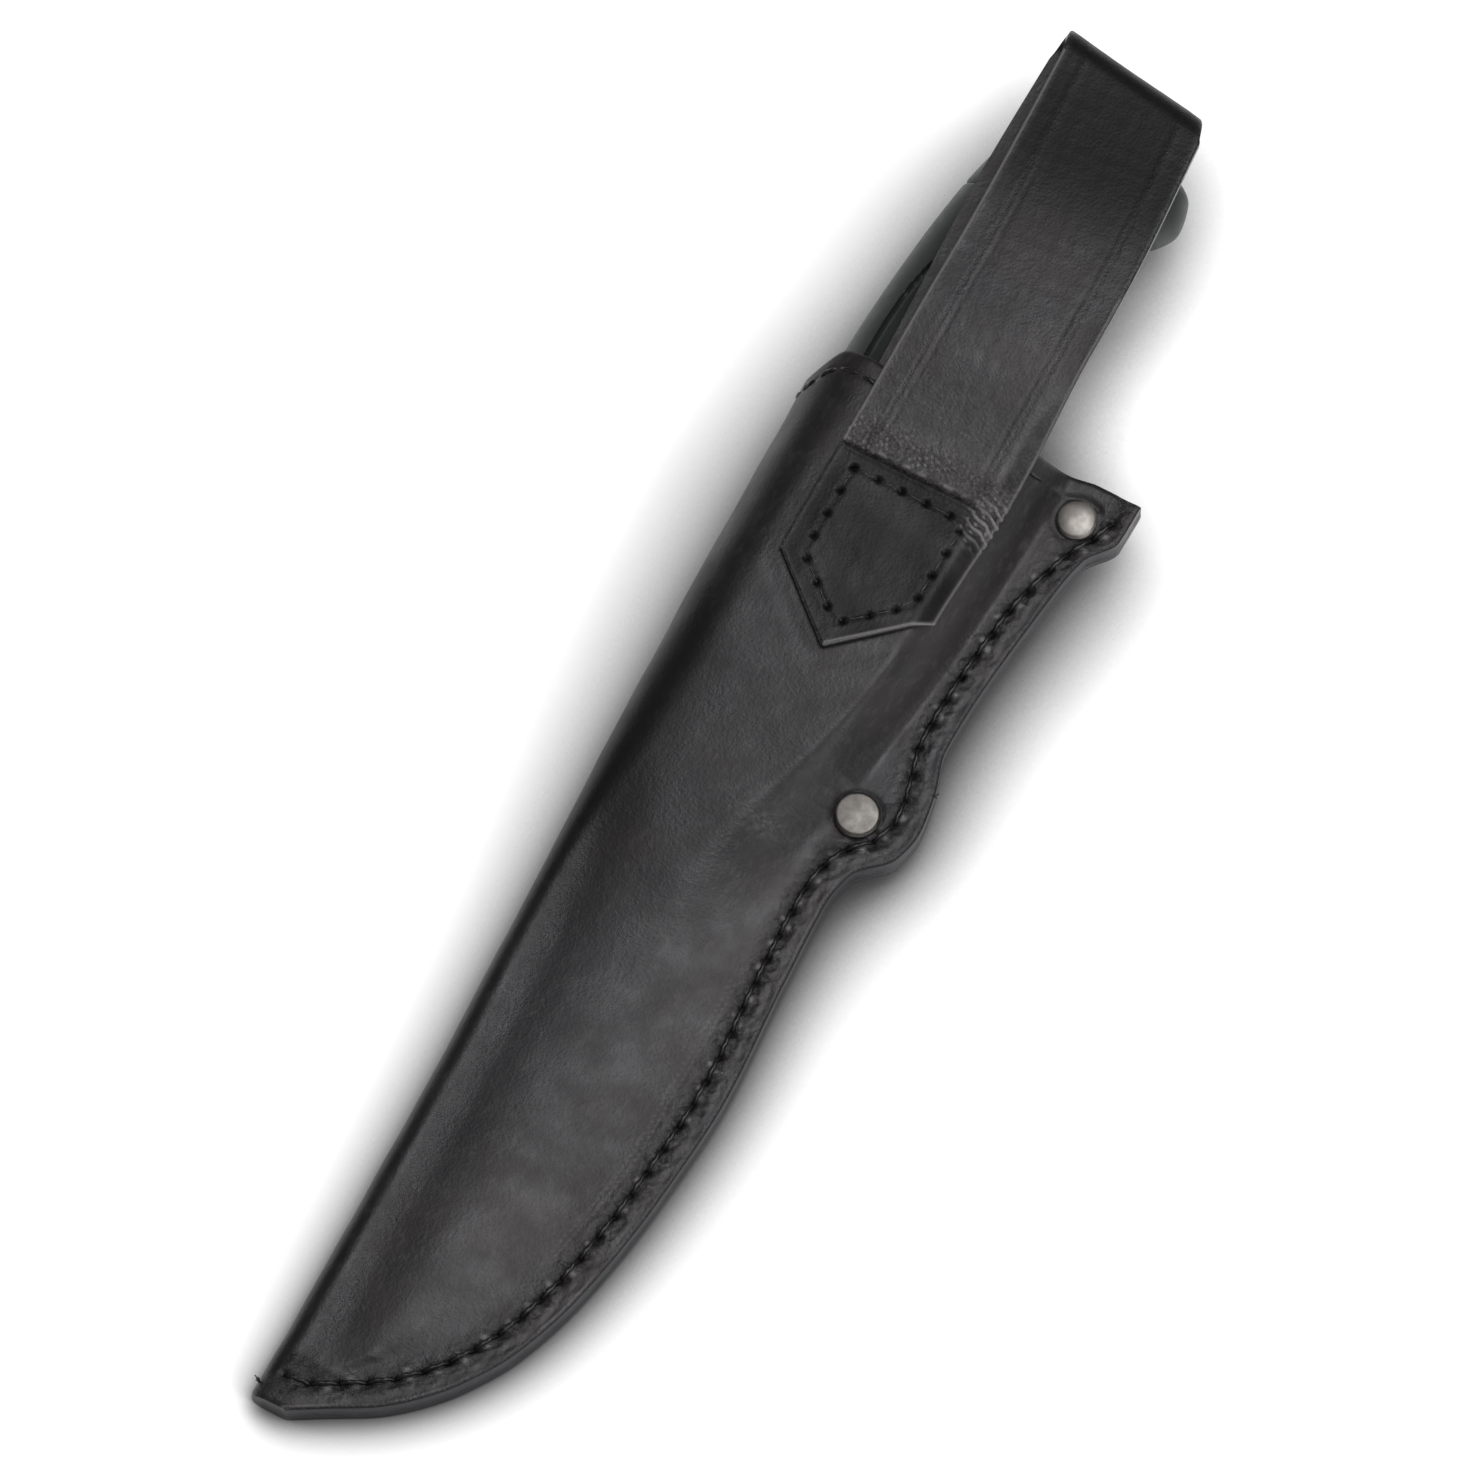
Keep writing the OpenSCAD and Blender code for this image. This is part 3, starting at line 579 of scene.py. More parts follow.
def section_x(y, depth, cols):
    """x of every column of a section from the edge to the fold, for a column of stations."""
    seam, panel, fold = cols
    t = (np.arange(seam) / seam) ** 1.25
    seam = mix(edge_x(y), welt_x(y), t)
    t = (np.arange(panel) / panel) ** 1.2
    panel = mix(welt_x(y), crown_x(y), t)
    t = np.sin(math.pi / 2 * np.arange(fold + 1) / fold)
    fold = mix(crown_x(y), fold_x(y) + depth, t)
    return np.concatenate([seam, panel, fold], axis=1)


def pouch_grid(depth):
    """Rows of points from the back edge round the fold to the front edge, and each point's station."""
    y = np.linspace(TOE_Y, POUCH_LENGTH, POUCH_ROWS)[:, None]
    faces, stations = [], []
    for cols, height in ((BACK_COLS, back_z), (FRONT_COLS, front_z)):
        x = section_x(y, depth, cols)
        station = np.broadcast_to(y, x.shape)
        place = shaped_y(section_x(y, 0, cols), station)
        faces.append(np.stack([x, place, height(x, station, depth)], -1))
        stations.append(station)
    return (np.concatenate([faces[0], faces[1][:, -2::-1]], 1),
            np.concatenate([stations[0], stations[1][:, -2::-1]], 1))


def dents(x, y, holes, depth, width):
    total = np.zeros(x.shape)
    for hx, hy in holes:
        near = (np.abs(y - hy) < 4 * width) & (np.abs(x - hx) < 4 * width)
        total[near] += bump(np.hypot(x[near] - hx, y[near] - hy), width)
    return -depth * total


def edge_inset(x, stations):
    """Distance in from the seam's cut edge."""
    return (edge_x(stations) - x) / edge_stretch(stations)


def toe_marks(x, y, width):
    """A short crumpled band across the toe."""
    return bump(y - TOE_MARKS_Y, width) * ease((x - 3) / 3) * (1 - ease((x - 20) / 3))


def seam_relief(x, y, off_line, in_seam):
    """A pressed groove with a hole at each stitch, lumps between them and crumpled leather around."""
    lift = -0.40 * bump(off_line, 1.5) * in_seam
    lift += dents(x, y, seam_holes[:, :2], 0.80, 0.75)
    lift += dents(x, y, seam_holes[:, :2], 0.20, 1.9)
    lift += dents(x, y, seam_middles, -0.34, 1.25)
    crumpled = bump(off_line + 0.3, 2.3) * in_seam
    return lift + crumpled * (0.17 * ripple(x, y, 1.6, 14, 13) + 0.10 * ripple(x, y, 3.1, 15, 9))


def rim_relief(x, y, stations, inset, in_seam):
    """Small bevels on the cut edges, a slightly wavy seam edge, and the mouth's stitch groove."""
    from_mouth = POUCH_LENGTH - stations
    lift = 0.07 * bump(inset - 1.6, 1.2) * ripple(x, y, 5.0, 16) * in_seam
    lift -= 0.36 * bevel(inset, 0.8) * in_seam
    lift -= 0.4 * bevel(from_mouth, 0.9)
    lift -= 0.20 * bump(from_mouth - MOUTH_STITCH_INSET, 0.6) * (inset > seam_inset(stations) + 3)
    return lift - 0.5 * bevel(stations - TOE_Y, 1.2)


def panel_relief(x, y, stations, off_line, is_back):
    """Slow waves, a valley beside the fold's ridge, and the leather drawn in around rivets and tab."""
    calm = ease(off_line / 9) * ease((POUCH_LENGTH - stations) / 12)
    lift = calm * (0.13 * ripple(x, y, 46, 11) + 0.05 * ripple(x, y, 17, 12))
    lift += 0.012 * ripple(x, y, 5.5, 13)
    from_ridge = x - fold_x(stations) - RIDGE_REACH
    valley = bump(from_ridge, np.where(from_ridge < 0, 3.4, 7.0))
    lift -= valley * (1 - ease((y - 118) / 60)) * ease(y / 24) * is_back
    for at in (SWELL_RIVET, MOUTH_RIVET):
        lift -= 0.35 * bump(np.hypot(x - at[0], y - at[1]) - 4.8, 0.9)
    tab = distance_to(x, y, tab_path())
    return lift - 0.10 * bump(tab - 7.5, 1.6) * is_back * (y < CREASE_Y - 4)


def pouch_relief(grid, stations, is_back):
    """How far each outer point stands proud of the plain form."""
    x, y = grid[..., 0], grid[..., 1]
    inset = edge_inset(x, stations)
    off_line = inset - seam_inset(stations)
    in_seam = x > crown_x(stations) + 1
    lift = seam_relief(x, y, off_line, in_seam)
    lift += rim_relief(x, y, stations, inset, in_seam)
    lift += panel_relief(x, y, stations, off_line, is_back)
    lift += dents(x, y, press_marks(), 0.10, 0.30) * is_back
    return lift + 0.13 * toe_marks(x, y, 1.2) * is_back * ripple(x, y * 0.6, 1.3, 17, 11)


def press_marks():
    """Faint rows of tool marks that run inside the seam along the belly."""
    marks = []
    for y in np.arange(54, 124, 1.45):
        for k in range(2):
            inset = 9.6 + 1.1 * k + 0.5 * math.sin(y / 7)
            marks.append((edge_x(y) - inset / edge_stretch(y), y + 0.5 * k))
    return marks


def paint_pouch(obj, grid, stations, is_back):
    """Where the leather is glossy, worn or cut, and where painted highlights (with some scuff streaks),
    painted shade and painted shade in the stitch groove go.
    """
    x, y = grid[..., 0], grid[..., 1]
    inset = edge_inset(x, stations)
    off_line = inset - seam_inset(stations)
    over = x - fold_x(stations)
    burnish = bump(off_line, 2.6) + 0.6 * bump(inset, 1.2) + toe_marks(x, y, 1.4) * is_back
    burnish += 0.5 * bump(over - 7, 3) * (1 - ease((y - 110) / 60))
    paint(obj, "burnish", burnish)
    scuff_and_painted_sheen = 0.55 * bump(np.hypot((x - SCUFF_X) / 7, (y - SCUFF_Y) / 3), 1) + 0.55 * bump(inset - 0.5, 0.4)
    # The light lines along the rim's ridge and beside the stitch groove are painted highlight; the scuff
    # spot and the worn cut edge are wear
    scuff_and_painted_sheen += 0.35 * bump(inset - 2.6, 0.5) + 0.30 * bump(np.abs(off_line) - 1.5, 0.6)
    paint(obj, "wear", scuff_and_painted_sheen)
    paint(obj, "cut_edge", 1 - inset / 0.3)
    # Painted highlights: a light line inside the cut edge and glints beside each stitch and on the press
    # marks; the streaks on the scuff are real wear
    bright = 0.35 * ripple(x, y, 22, 18).clip(0, 1) * bump(inset - 0.75, 0.25) * (x > crown_x(stations))
    for side, reach in enumerate((-1.0, 1.4)):
        beside = seam_middles + reach * np.array([0.82, -0.57])
        patchy = (0.1 + ripple(x, y, 2.6, 19 + 40 * side)).clip(0, 1.2)
        bright -= dents(x, y, beside, 1.6, 0.55) * patchy
    bright -= dents(x, y, press_marks(), 0.25, 0.35)
    streaks = ripple(x * 2.2, y * 0.7, 2.0, 20, 11).clip(0, 1)
    bright += 0.25 * bump(np.hypot((x - SCUFF_X) / 6, (y - SCUFF_Y) / 3.5), 1) * streaks
    paint(obj, "painted_highlights_and_scuffs", bright * is_back)
    # Painted shade: the upper part of the fold's side, a band along the fold's edge and the cut edge
    shade = 0.85 * (1 - ease((over - 6) / 14)) * ease((y - 105) / 50) * (1 - 0.75 * ease((y - 180) / 35))
    shade += 0.6 * bump(over - 1, 2.6) + np.clip(1 - inset / 0.4, 0, 1)
    paint(obj, "painted_shade", shade)
    # Painted shade in the stitch groove
    paint(obj, "painted_hollow_shade", 0.65 * bump(off_line, 2.2))


def make_pouch():
    outer, stations = pouch_grid(0)
    is_back = np.zeros(outer.shape[:2])
    is_back[:, : sum(BACK_COLS) + 1] = 1
    lift = pouch_relief(outer, stations, is_back)
    # The underside stays on or above the plane that the sheath lies on
    resting = (is_back == 0) & (outer[..., 2] + floor_depth(outer[..., 1]) < 1.2)
    lift = np.where(resting, np.minimum(lift, 0), lift)
    outer = outer - grid_normals(outer) * lift[..., None]
    inner = pouch_grid(LEATHER)[0][::THIN, ::THIN]
    obj = shell_mesh("pouch_leather", outer, inner, THIN)
    paint_pouch(obj, outer, stations, is_back)
    return dressed(obj, "sheath", "leather", BLACK_LEATHER, "pouch")


def make_welt():
    rows, cols = 343, 13
    y = np.linspace(TOE_Y, POUCH_LENGTH, rows)[:, None]
    t = np.linspace(0, 1, cols)[None, :]
    # At the toe it closes the end of the fold
    x = mix(edge_x(y) - 0.04, welt_x(y) - 1.7 * (1 - ease((y - TOE_Y) / 5)), t)
    station = np.broadcast_to(y, x.shape)
    top = np.stack([x, shaped_y(x, station), seam_height(station) + WELT_T / 2], -1)
    low = top - np.array([0, 0, WELT_T])
    obj = shell_mesh("welt_strip", top, low, 1)
    return dressed(obj, "sheath", "leather_edge", LEATHER_EDGE, "welt")


# ---- Belt loop ----
STRAP_COLS = 85
TAB_ROWS = 120
FRONT_ROWS = 260
FOLD_ROWS = 40
RISER_ROWS = 150
CREASE_ROWS = 60
LINE_INSET = 5.6
SHARES = np.linspace(0, 1, STRAP_COLS)


def tab_narrowing(y):
    return mix(0.03, 1, np.clip((y - TAB_TIP) / (TAB_SHOULDER - TAB_TIP), 0, 1))


def skewed(y):
    """The strap's rows lean to one side as they come near its skewed fold."""
    return y - FOLD_SKEW * STRAP_W * SHARES * ease((y - SKEW_FROM) / SKEW_RUN)


def strap_rows():
    """Middle surface of the strap as rows of points, from the tab's point to the sewn end inside."""
    rows = []
    for y in np.linspace(TAB_TIP, CREASE_Y, TAB_ROWS):
        x = strap_left(y) + strap_width(y) * (0.5 + tab_narrowing(y) * (SHARES - 0.5))
        rows.append(np.stack([x, np.full_like(x, y), back_z(x, y) + SEWN_GAP + STRAP_T / 2], 1))
    high = RISER_Z + 2 * LOOP_R
    for y in np.linspace(CREASE_Y, LOOP_CENTRE_Y, FRONT_ROWS + 2)[1:-1]:
        x = strap_left(y) + strap_width(y) * SHARES
        start = back_z(x, CREASE_Y) + STRAP_T / 2
        rows.append(np.stack([x, skewed(y), mix(start, high, ease((y - CREASE_Y) / CLIMB_RUN))], 1))
    front_x = strap_left(LOOP_END) + strap_width(LOOP_END) * SHARES
    back_x = riser_left(LOOP_END) + RISER_W * SHARES
    for a in np.linspace(0, math.pi, FOLD_ROWS):
        rows.append(np.stack([mix(front_x, back_x, a / math.pi),
                              LOOP_CENTRE_Y + LOOP_R * math.sin(a) - FOLD_SKEW * STRAP_W * SHARES,
                              np.full_like(front_x, RISER_Z + LOOP_R + LOOP_R * math.cos(a))], 1))
    for y in np.linspace(LOOP_CENTRE_Y - 1, RISER_END, RISER_ROWS):
        x = riser_left(y) + RISER_W * SHARES
        inside = np.minimum(back_z(x, y, LEATHER) - STRAP_T / 2 - SEWN_GAP, RISER_Z)
        free = ease((y - RISER_FREE_FROM) / RISER_FREE_RUN)
        rows.append(np.stack([x, skewed(y), mix(inside, RISER_Z, free)], 1))
    spare = (len(rows) - 1) % THIN
    grid = np.array(rows[: len(rows) - spare])
    # The strap already leans over before it folds
    share_up = np.clip((grid[..., 2] - RISER_Z) / (2 * LOOP_R), 0, 1)
    grid[..., 2] -= LEAN * ease((grid[..., 1] - LEAN_FROM) / LEAN_RUN) * share_up
    return grid


def tab_path():
    inset = TAB_STITCH_INSET / STRAP_W
    top, low, tip = CREASE_Y - TAB_STITCH_DROP, TAB_SHOULDER + 1, TAB_TIP + TAB_STITCH_INSET
    far = 1 - inset
    path = []
    for share, y in ((inset, top), (inset, low), (0.5, tip), (far, low), (far, top), (inset, top)):
        x = float(strap_left(y) + strap_width(y) * share)
        path.append([x, y, float(back_z(x, y)) + STRAP_T, x, y, float(back_z(x, y, LEATHER)) - STRAP_T])
    return path


tab_holes = paced(tab_path(), TAB_STITCH_PITCH)


def strap_zones(grid):
    """Distances and zones over the strap that its relief and its paint share."""
    x, y = grid[..., 0], grid[..., 1]
    row = np.arange(len(grid))[:, None] * np.ones(grid.shape[:2])
    to_edge = np.minimum(SHARES, 1 - SHARES)[None, :]
    zone = SimpleNamespace(x=x, y=y, above=y - CREASE_Y, groove=distance_to(x, y, tab_path()))
    zone.edge = to_edge * np.linalg.norm(grid[:, -1] - grid[:, 0], axis=1)[:, None]
    zone.line = to_edge * STRAP_W - LINE_INSET
    zone.on_tab = row < TAB_ROWS
    zone.on_front = (row >= TAB_ROWS) & (row < TAB_ROWS + FRONT_ROWS)
    zone.near_crease = row < TAB_ROWS + CREASE_ROWS
    point_slope = (TAB_SHOULDER - TAB_TIP) / (STRAP_W / 2)
    zone.from_tip = y - TAB_TIP - np.abs(x - strap_left(y) - strap_width(y) / 2) * point_slope
    # The crushed band above the crease, and the puckers at the crease's right end
    zone.band = bump(zone.above - 4.2, 3.4) * zone.near_crease * (zone.above > 0)
    zone.right = np.clip((x - strap_left(y)) / strap_width(y), 0, 1)
    zone.pucker = ease((zone.right - 0.80) / 0.14) * bump(zone.above + 2.2, 4.2) * zone.near_crease
    zone.wrinkle = np.sin(zone.above * 2.9 + x * 1.1 + 0.6 * np.sin(x * 1.9))
    return zone


def strap_relief(zone):
    """How far each outer point of the strap stands proud of the plain form."""
    x, y, above = zone.x, zone.y, zone.above
    lift = -0.30 * bevel(zone.edge, 0.6) - 0.30 * bevel(zone.from_tip, 0.6) * zone.on_tab
    pressed = ~zone.on_tab * ease(above / 9) * (1 - ease((y - 298) / 18))
    lift += (-0.11 * bump(zone.line, 0.45) - 0.05 * bump(zone.line - 1.6, 0.4)) * pressed
    lift += -0.14 * bump(zone.groove, 0.6) * zone.on_tab
    lift += dents(x, y, tab_holes[:, :2], 1.0, 0.56) * zone.on_tab
    lift += (0.16 * bump(above + 1.1, 0.7) - 0.42 * bump(above, 0.45)) * zone.near_crease
    lift += 0.055 * zone.band * ripple(x * 1.6, y * 0.55, 1.3, 31, 11)
    lift += 0.24 * zone.pucker * zone.wrinkle
    lift += 0.07 * ripple(x, y, 30, 32) * np.clip(zone.edge / 4, 0, 1)
    return lift + 0.012 * ripple(x, y, 4, 33)


def paint_strap(obj, zone):
    """Where the strap is glossy, worn or cut, and where painted highlights, painted shade and painted shade
    in the tab's stitch holes go.
    """
    x, y, above, edge = zone.x, zone.y, zone.above, zone.edge
    on_tab, on_front, near_crease = zone.on_tab, zone.on_front, zone.near_crease
    burnish = 0.7 * zone.band + zone.pucker + 0.55 * bump(edge, 0.9) + 0.4 * bump(zone.line, 0.9) * ~on_tab
    burnish += 0.5 * bump(zone.groove, 1.6) * on_tab + 0.8 * bump(above, 1.2) * near_crease
    paint(obj, "burnish", burnish)
    arc = np.abs(np.hypot(x - 40, y - 291) - 42)
    scratch = bump(arc, 0.22) * on_front * (x > 26) * (x < 50) * (y < 256)
    # The lightening on the puckers and along the crease line is painted highlight; the rest is wear
    wear = 0.75 * bump(edge, 0.45) + 0.6 * zone.band + scratch + 0.8 * zone.pucker
    wear += 0.40 * (1 - ease((above - 8) / 45)) * on_front
    wear += 0.9 * bump(above + 0.2, 0.35) * near_crease + 0.6 * bump(zone.from_tip, 0.5) * on_tab
    paint(obj, "wear", wear)
    paint(obj, "cut_edge", 1 - edge / 0.2)
    # Painted highlights: light lines along the strap's edges and the tab's point, glints on the crease,
    # specks in the crushed band and on the shiny puckers
    rim, left = bump(edge - 0.43, 0.22), SHARES < 0.5
    bright = rim * left * on_front + 0.5 * rim * ~left * (on_front | on_tab) * (y < 290)
    bright += 0.8 * bump(zone.from_tip - 0.5, 0.35) * ~left * on_tab * (y < TAB_SHOULDER + 3)
    bright += 0.8 * bump(above - 0.9, 0.4) * near_crease * ripple(x, y, 3, 34).clip(0, 1)
    specks = (ripple(x, y, 0.9, 35, 13) - 0.7).clip(0, 1)
    bright += 1.6 * specks * (zone.band * (1.2 - zone.right) + 2.2 * zone.pucker)
    bright += 2.6 * zone.pucker * (zone.wrinkle - 0.35).clip(0, 1)
    paint(obj, "painted_highlights_and_scuffs", bright)
    # Painted shade in the tab's stitch holes and groove
    hole = -dents(x, y, tab_holes[:, :2], 1.0, 0.55) * on_tab
    paint(obj, "painted_hollow_shade", 1.4 * hole + 0.3 * bump(zone.groove, 0.8) * on_tab)
    # Painted shade over the tab and towards the top of the loop
    shade = (0.78 + 0.16 * ripple(x, y, 11, 37)) * on_tab * ease(edge / 1.5) * (1 - zone.pucker)
    paint(obj, "painted_shade", shade + 0.85 * ease((y - 285) / 30) * ease(edge / 2))


def make_belt_loop():
    middle = strap_rows()
    zone = strap_zones(middle)
    outward = grid_normals(middle)
    outer = middle + outward * (STRAP_T / 2 + strap_relief(zone))[..., None]
    inner = (middle - outward * STRAP_T / 2)[::THIN, ::THIN]
    obj = shell_mesh("belt_loop_strap", outer, inner, THIN)
    paint_strap(obj, zone)
    return dressed(obj, "sheath", "leather", BLACK_LEATHER, "belt_loop")


# ---- Thread ----
def stitch_rings(a, b, up, radius, sink):
    """One stitch between two holes: it rises out of one, lies in its groove and dips into the next."""
    steps, sides, plies, turns = 13, 10, 2, 2.2
    t = np.linspace(0, 1, steps)
    along_it = (b - a) / np.linalg.norm(b - a)
    side = np.cross(along_it, up)
    height = -0.95 + (1.15 - sink) * (1 - np.abs(2 * t - 1) ** 3.2)
    centre = a + (b - a) * t[:, None] + up * height[:, None]
    around = np.arange(sides) * math.tau / sides
    r = radius * mix(0.8, 1.05, np.sin(math.pi * t))[:, None]
    r = r * (1 + 0.17 * np.cos(plies * (around[None, :] - math.tau * turns * t[:, None] / plies)))
    ring = (side[None, None, :] * (np.cos(around)[None, :] * r)[..., None]
            + up[None, None, :] * (np.sin(around)[None, :] * r)[..., None])
    return centre[:, None, :] + ring


def tubes_mesh(name, tubes):
    """One mesh of many short closed tubes, each given by its rings."""
    points, faces, base = [], [], 0
    for rings in tubes:
        rows, n = rings.shape[:2]
        faces += ring_faces(rows, n, base)
        points.append(rings.reshape(-1, 3))
        base += rows * n
    return new_object(name, placed(np.concatenate(points)), faces, 60)


def thread_mesh(name, holes, radius, sink):
    tubes = []
    for start, end in zip(holes[:-1], holes[1:]):
        for near, far in ((slice(0, 3), slice(3, 6)), (slice(3, 6), slice(0, 3))):
            up = (start[near] - start[far]) / np.linalg.norm(start[near] - start[far])
            tubes.append(stitch_rings(start[near], end[near], up, radius, sink))
    return tubes_mesh(name, tubes)


def frayed_end(at, toward, strands, seed):
    """A cut end of waxed thread: a few short curved fibres that fan out from a hole."""
    rng = np.random.default_rng(seed)
    tubes = []
    around = np.arange(6) * math.tau / 6
    for _ in range(strands):
        aim = np.array(toward) + rng.uniform(-0.55, 0.55, 3)
        side = np.cross(aim, (0.3, 0.2, 1.0))
        side = side / np.linalg.norm(side)
        other = np.cross(aim / np.linalg.norm(aim), side)
        t = np.linspace(0, 1, 7)[:, None]
        path = np.array(at) + rng.uniform(0.5, 1.1) * t * aim + rng.uniform(-0.5, 0.5) * t ** 2 * side
        r = (0.30 * (1 - 0.6 * t))[:, :, None]
        ring = side * np.cos(around)[:, None] + other * np.sin(around)[:, None]
        tubes.append(path[:, None, :] + r * ring)
    return tubes


# Each cut end of the seam's thread: its place, direction, number of strands and seed
THREAD_ENDS = (
    ((0.9, 1.2, 2.4), (-0.7, 0.5, 0.3), 7, 81),
    ((1.2, -0.8, 1.0), (-0.8, 0.0, 0.2), 5, 82),
    ((72.6, 253.2, 6.7), (0.5, 0.9, 0.1), 6, 83),
    ((65.6, 179.6, 4.6), (0.9, 0.4, 0.1), 4, 84),
)


def make_threads():
    section, stations = pouch_grid(0)
    deep = pouch_grid(LEATHER)[0]
    row = int(np.argmin(np.abs(stations[:, 0] - (POUCH_LENGTH - MOUTH_STITCH_INSET))))
    first, last = BACK_COLS[0] + 4, section.shape[1] - FRONT_COLS[0] - 3
    mouth_path = np.concatenate([section[row, first:last], deep[row, first:last]], 1)
    mouth_holes = paced(mouth_path, STITCH_PITCH)
    for name, holes, radius, sink, node in (("seam_stitches", seam_holes, THREAD_R, 0.3, "seam_thread"),
                                            ("mouth_stitches", mouth_holes, THREAD_R, 0.1, "mouth_thread"),
                                            ("tab_stitches", tab_holes, 0.34, 0.42, "tab_thread")):
        dressed(thread_mesh(name, holes, radius, sink), "sheath", "thread", THREAD, node)
    tubes = [tube for end in THREAD_ENDS for tube in frayed_end(*end)]
    dressed(tubes_mesh("thread_ends", tubes), "sheath", "thread", THREAD, "seam_thread")


# ---- Rivets ----
RIVET_SIDES = 72


def lathe(profile, sides=64):
    """Rings about Z from (radius, height) points."""
    a = np.arange(sides) * math.tau / sides
    return np.array([np.stack([r * np.cos(a), r * np.sin(a), np.full(sides, z)], 1) for r, z in profile])


def make_rivet_head(name, at, diameter, facing, domed, node, metal):
    """A pressed rivet head with a rolled rim, on the back (facing 1) or the front (facing -1)."""
    r, h = diameter / 2, RIVET_H
    rim = [(r * 0.93, -0.35), (r, -0.1), (r, 0.45), (r * 0.99, 0.65), (r * 0.955, 0.8)]
    crown = [(r * s, mix(0.8, h, domed * (1 - s ** 2) ** 0.8 + (1 - domed) * ease((1 - s) / 0.12)))
             for s in np.linspace(0.9, 0.02, 22)]
    rings = lathe([(0.02, -0.35)] + rim + crown, RIVET_SIDES)
    x, y = rings[..., 0], rings[..., 1]
    rings[..., 2] += 0.010 * ripple(x, y, 4.5, 51) * (rings[..., 2] > 0.7)
    if facing < 0:
        rings = rings * np.array([1, -1, -1])
    slope = math.atan(float(seam_height(at[1] + 0.5) - seam_height(at[1] - 0.5)))
    z = rings[..., 2] + facing * SEAM_HALF
    y = rings[..., 1] * math.cos(slope) - z * math.sin(slope)
    z = rings[..., 1] * math.sin(slope) + z * math.cos(slope)
    points = np.stack([rings[..., 0] + at[0], y + at[1], z + float(seam_height(at[1]))], -1)
    return dressed(loft_mesh(name, points[::-1], 50), "sheath", "nickel", metal, node)


def make_rivets():
    for name, at, diameter, domed, metal in (("swell_rivet", SWELL_RIVET, SWELL_RIVET_D, 0.25, SHADED_NICKEL),
                                             ("mouth_rivet", MOUTH_RIVET, MOUTH_RIVET_D, 0.8, NICKEL)):
        make_rivet_head(name + "_head", at, diameter, 1, domed, name + "_cap", metal)
        make_rivet_head(name + "_back", at, diameter, -1, 0.5, name + "_stud", NICKEL)


# ---- Knife ----
BLADE_TIP = 11.0
BLADE_BACK_X = 5.2
BLADE_T = 3.6
RICASSO_Y = 166.0
GUARD_T = 4.0
GUARD_X = (3.0, 46.5)
GUARD_HALF = 7.4
SPACER_T = 1.5
GRIP_Y = RICASSO_Y + GUARD_T + SPACER_T
POMMEL_Y = 304.0
BUTT_Y = 327.0
TANG_X = 23.0
TANG_W = 14.0
TANG_END = 300.0
ROD_END = 317.0
GRIP_POWER = 2.4
INLAY_FROM = 182.0
INLAY_TO = 292.0
INLAY_HALF_W = 11.5
INLAY_FLOOR = 6.0
INLAY_GAP = 0.35
POCKET_GAP = 0.55
POCKET_DEPTH = 1.6
RIB_PITCH = 4.2
PIN_YS = (200.0, 274.0)
PIN_R = 2.5
NUT_Y = 314.0
NUT_R = 4.5
LANYARD_AT = (41.0, 317.0)
LANYARD_R = 3.0
BUTT_ROUND = 2.0
ROD_R = 1.4
NUT_LENGTH = 5.0
SAW_Y = (60.5, 143.5)
FIRST_TOOTH = 62.0
TOOTH_PITCH = 4.0
TOOTH_DEPTH = 1.6
TICKS_Y = (27.0, 141.0)
FIRST_TICK = 29.35
TICK_PITCH = 10.0
TICK_INSET = 4.0
SHORT_TICK = 4.0
LONG_TICK = 7.0
blade_edge = curve([(BLADE_TIP, 5.4), (13, 11), (17, 18), (24, 26), (34, 32.6), (50, 38.4), (74, 42.6),
                    (104, 44.4), (140, 43.4), (158, 42.4)])
grip_back = curve([(GRIP_Y, 4), (200, 2.6), (240, 2.4), (262, 3), (285, 5), (POMMEL_Y, 7.8), (313, 10),
                   (320, 12.5), (325, 16.5), (BUTT_Y, 21)])
grip_belly = curve([(GRIP_Y, 38), (184, 35.5), (214, 40.5), (250, 37), (285, 36.5), (POMMEL_Y, 40),
                    (308, 44), (311, 50), (316, 52.7), (322, 51.6), (325, 48.5), (BUTT_Y, 40)])
grip_depth = curve([(GRIP_Y, 7.6), (200, GRIP_HALF - 1.2), (238, GRIP_HALF), (290, GRIP_HALF),
                    (POMMEL_Y, GRIP_HALF - 0.4), (318, GRIP_HALF - 1.2), (323, 8.2), (326, 6.4),
                    (BUTT_Y, 5.2)])


def grip_height(x, y):
    """Height of the grip's surface above the middle plane."""
    mid, half = (grip_back(y) + grip_belly(y)) / 2, (grip_belly(y) - grip_back(y)) / 2
    u = np.clip(np.abs(x - mid) / half, 0, 1)
    return grip_depth(y) * (1 - u ** GRIP_POWER) ** (1 / GRIP_POWER)


def inlay_half(y):
    along_it = np.clip(2 * (y - INLAY_FROM) / (INLAY_TO - INLAY_FROM) - 1, -1, 1)
    return INLAY_HALF_W * np.sqrt(1 - np.abs(along_it) ** 6)


def inside_inlay(x, y):
    """Rough distance inside the inlay's outline: positive inside it, negative outside."""
    mid = (grip_back(y) + grip_belly(y)) / 2
    sideways = inlay_half(y) - np.abs(x - mid)
    return np.minimum(sideways, np.minimum(y - INLAY_FROM, INLAY_TO - y))


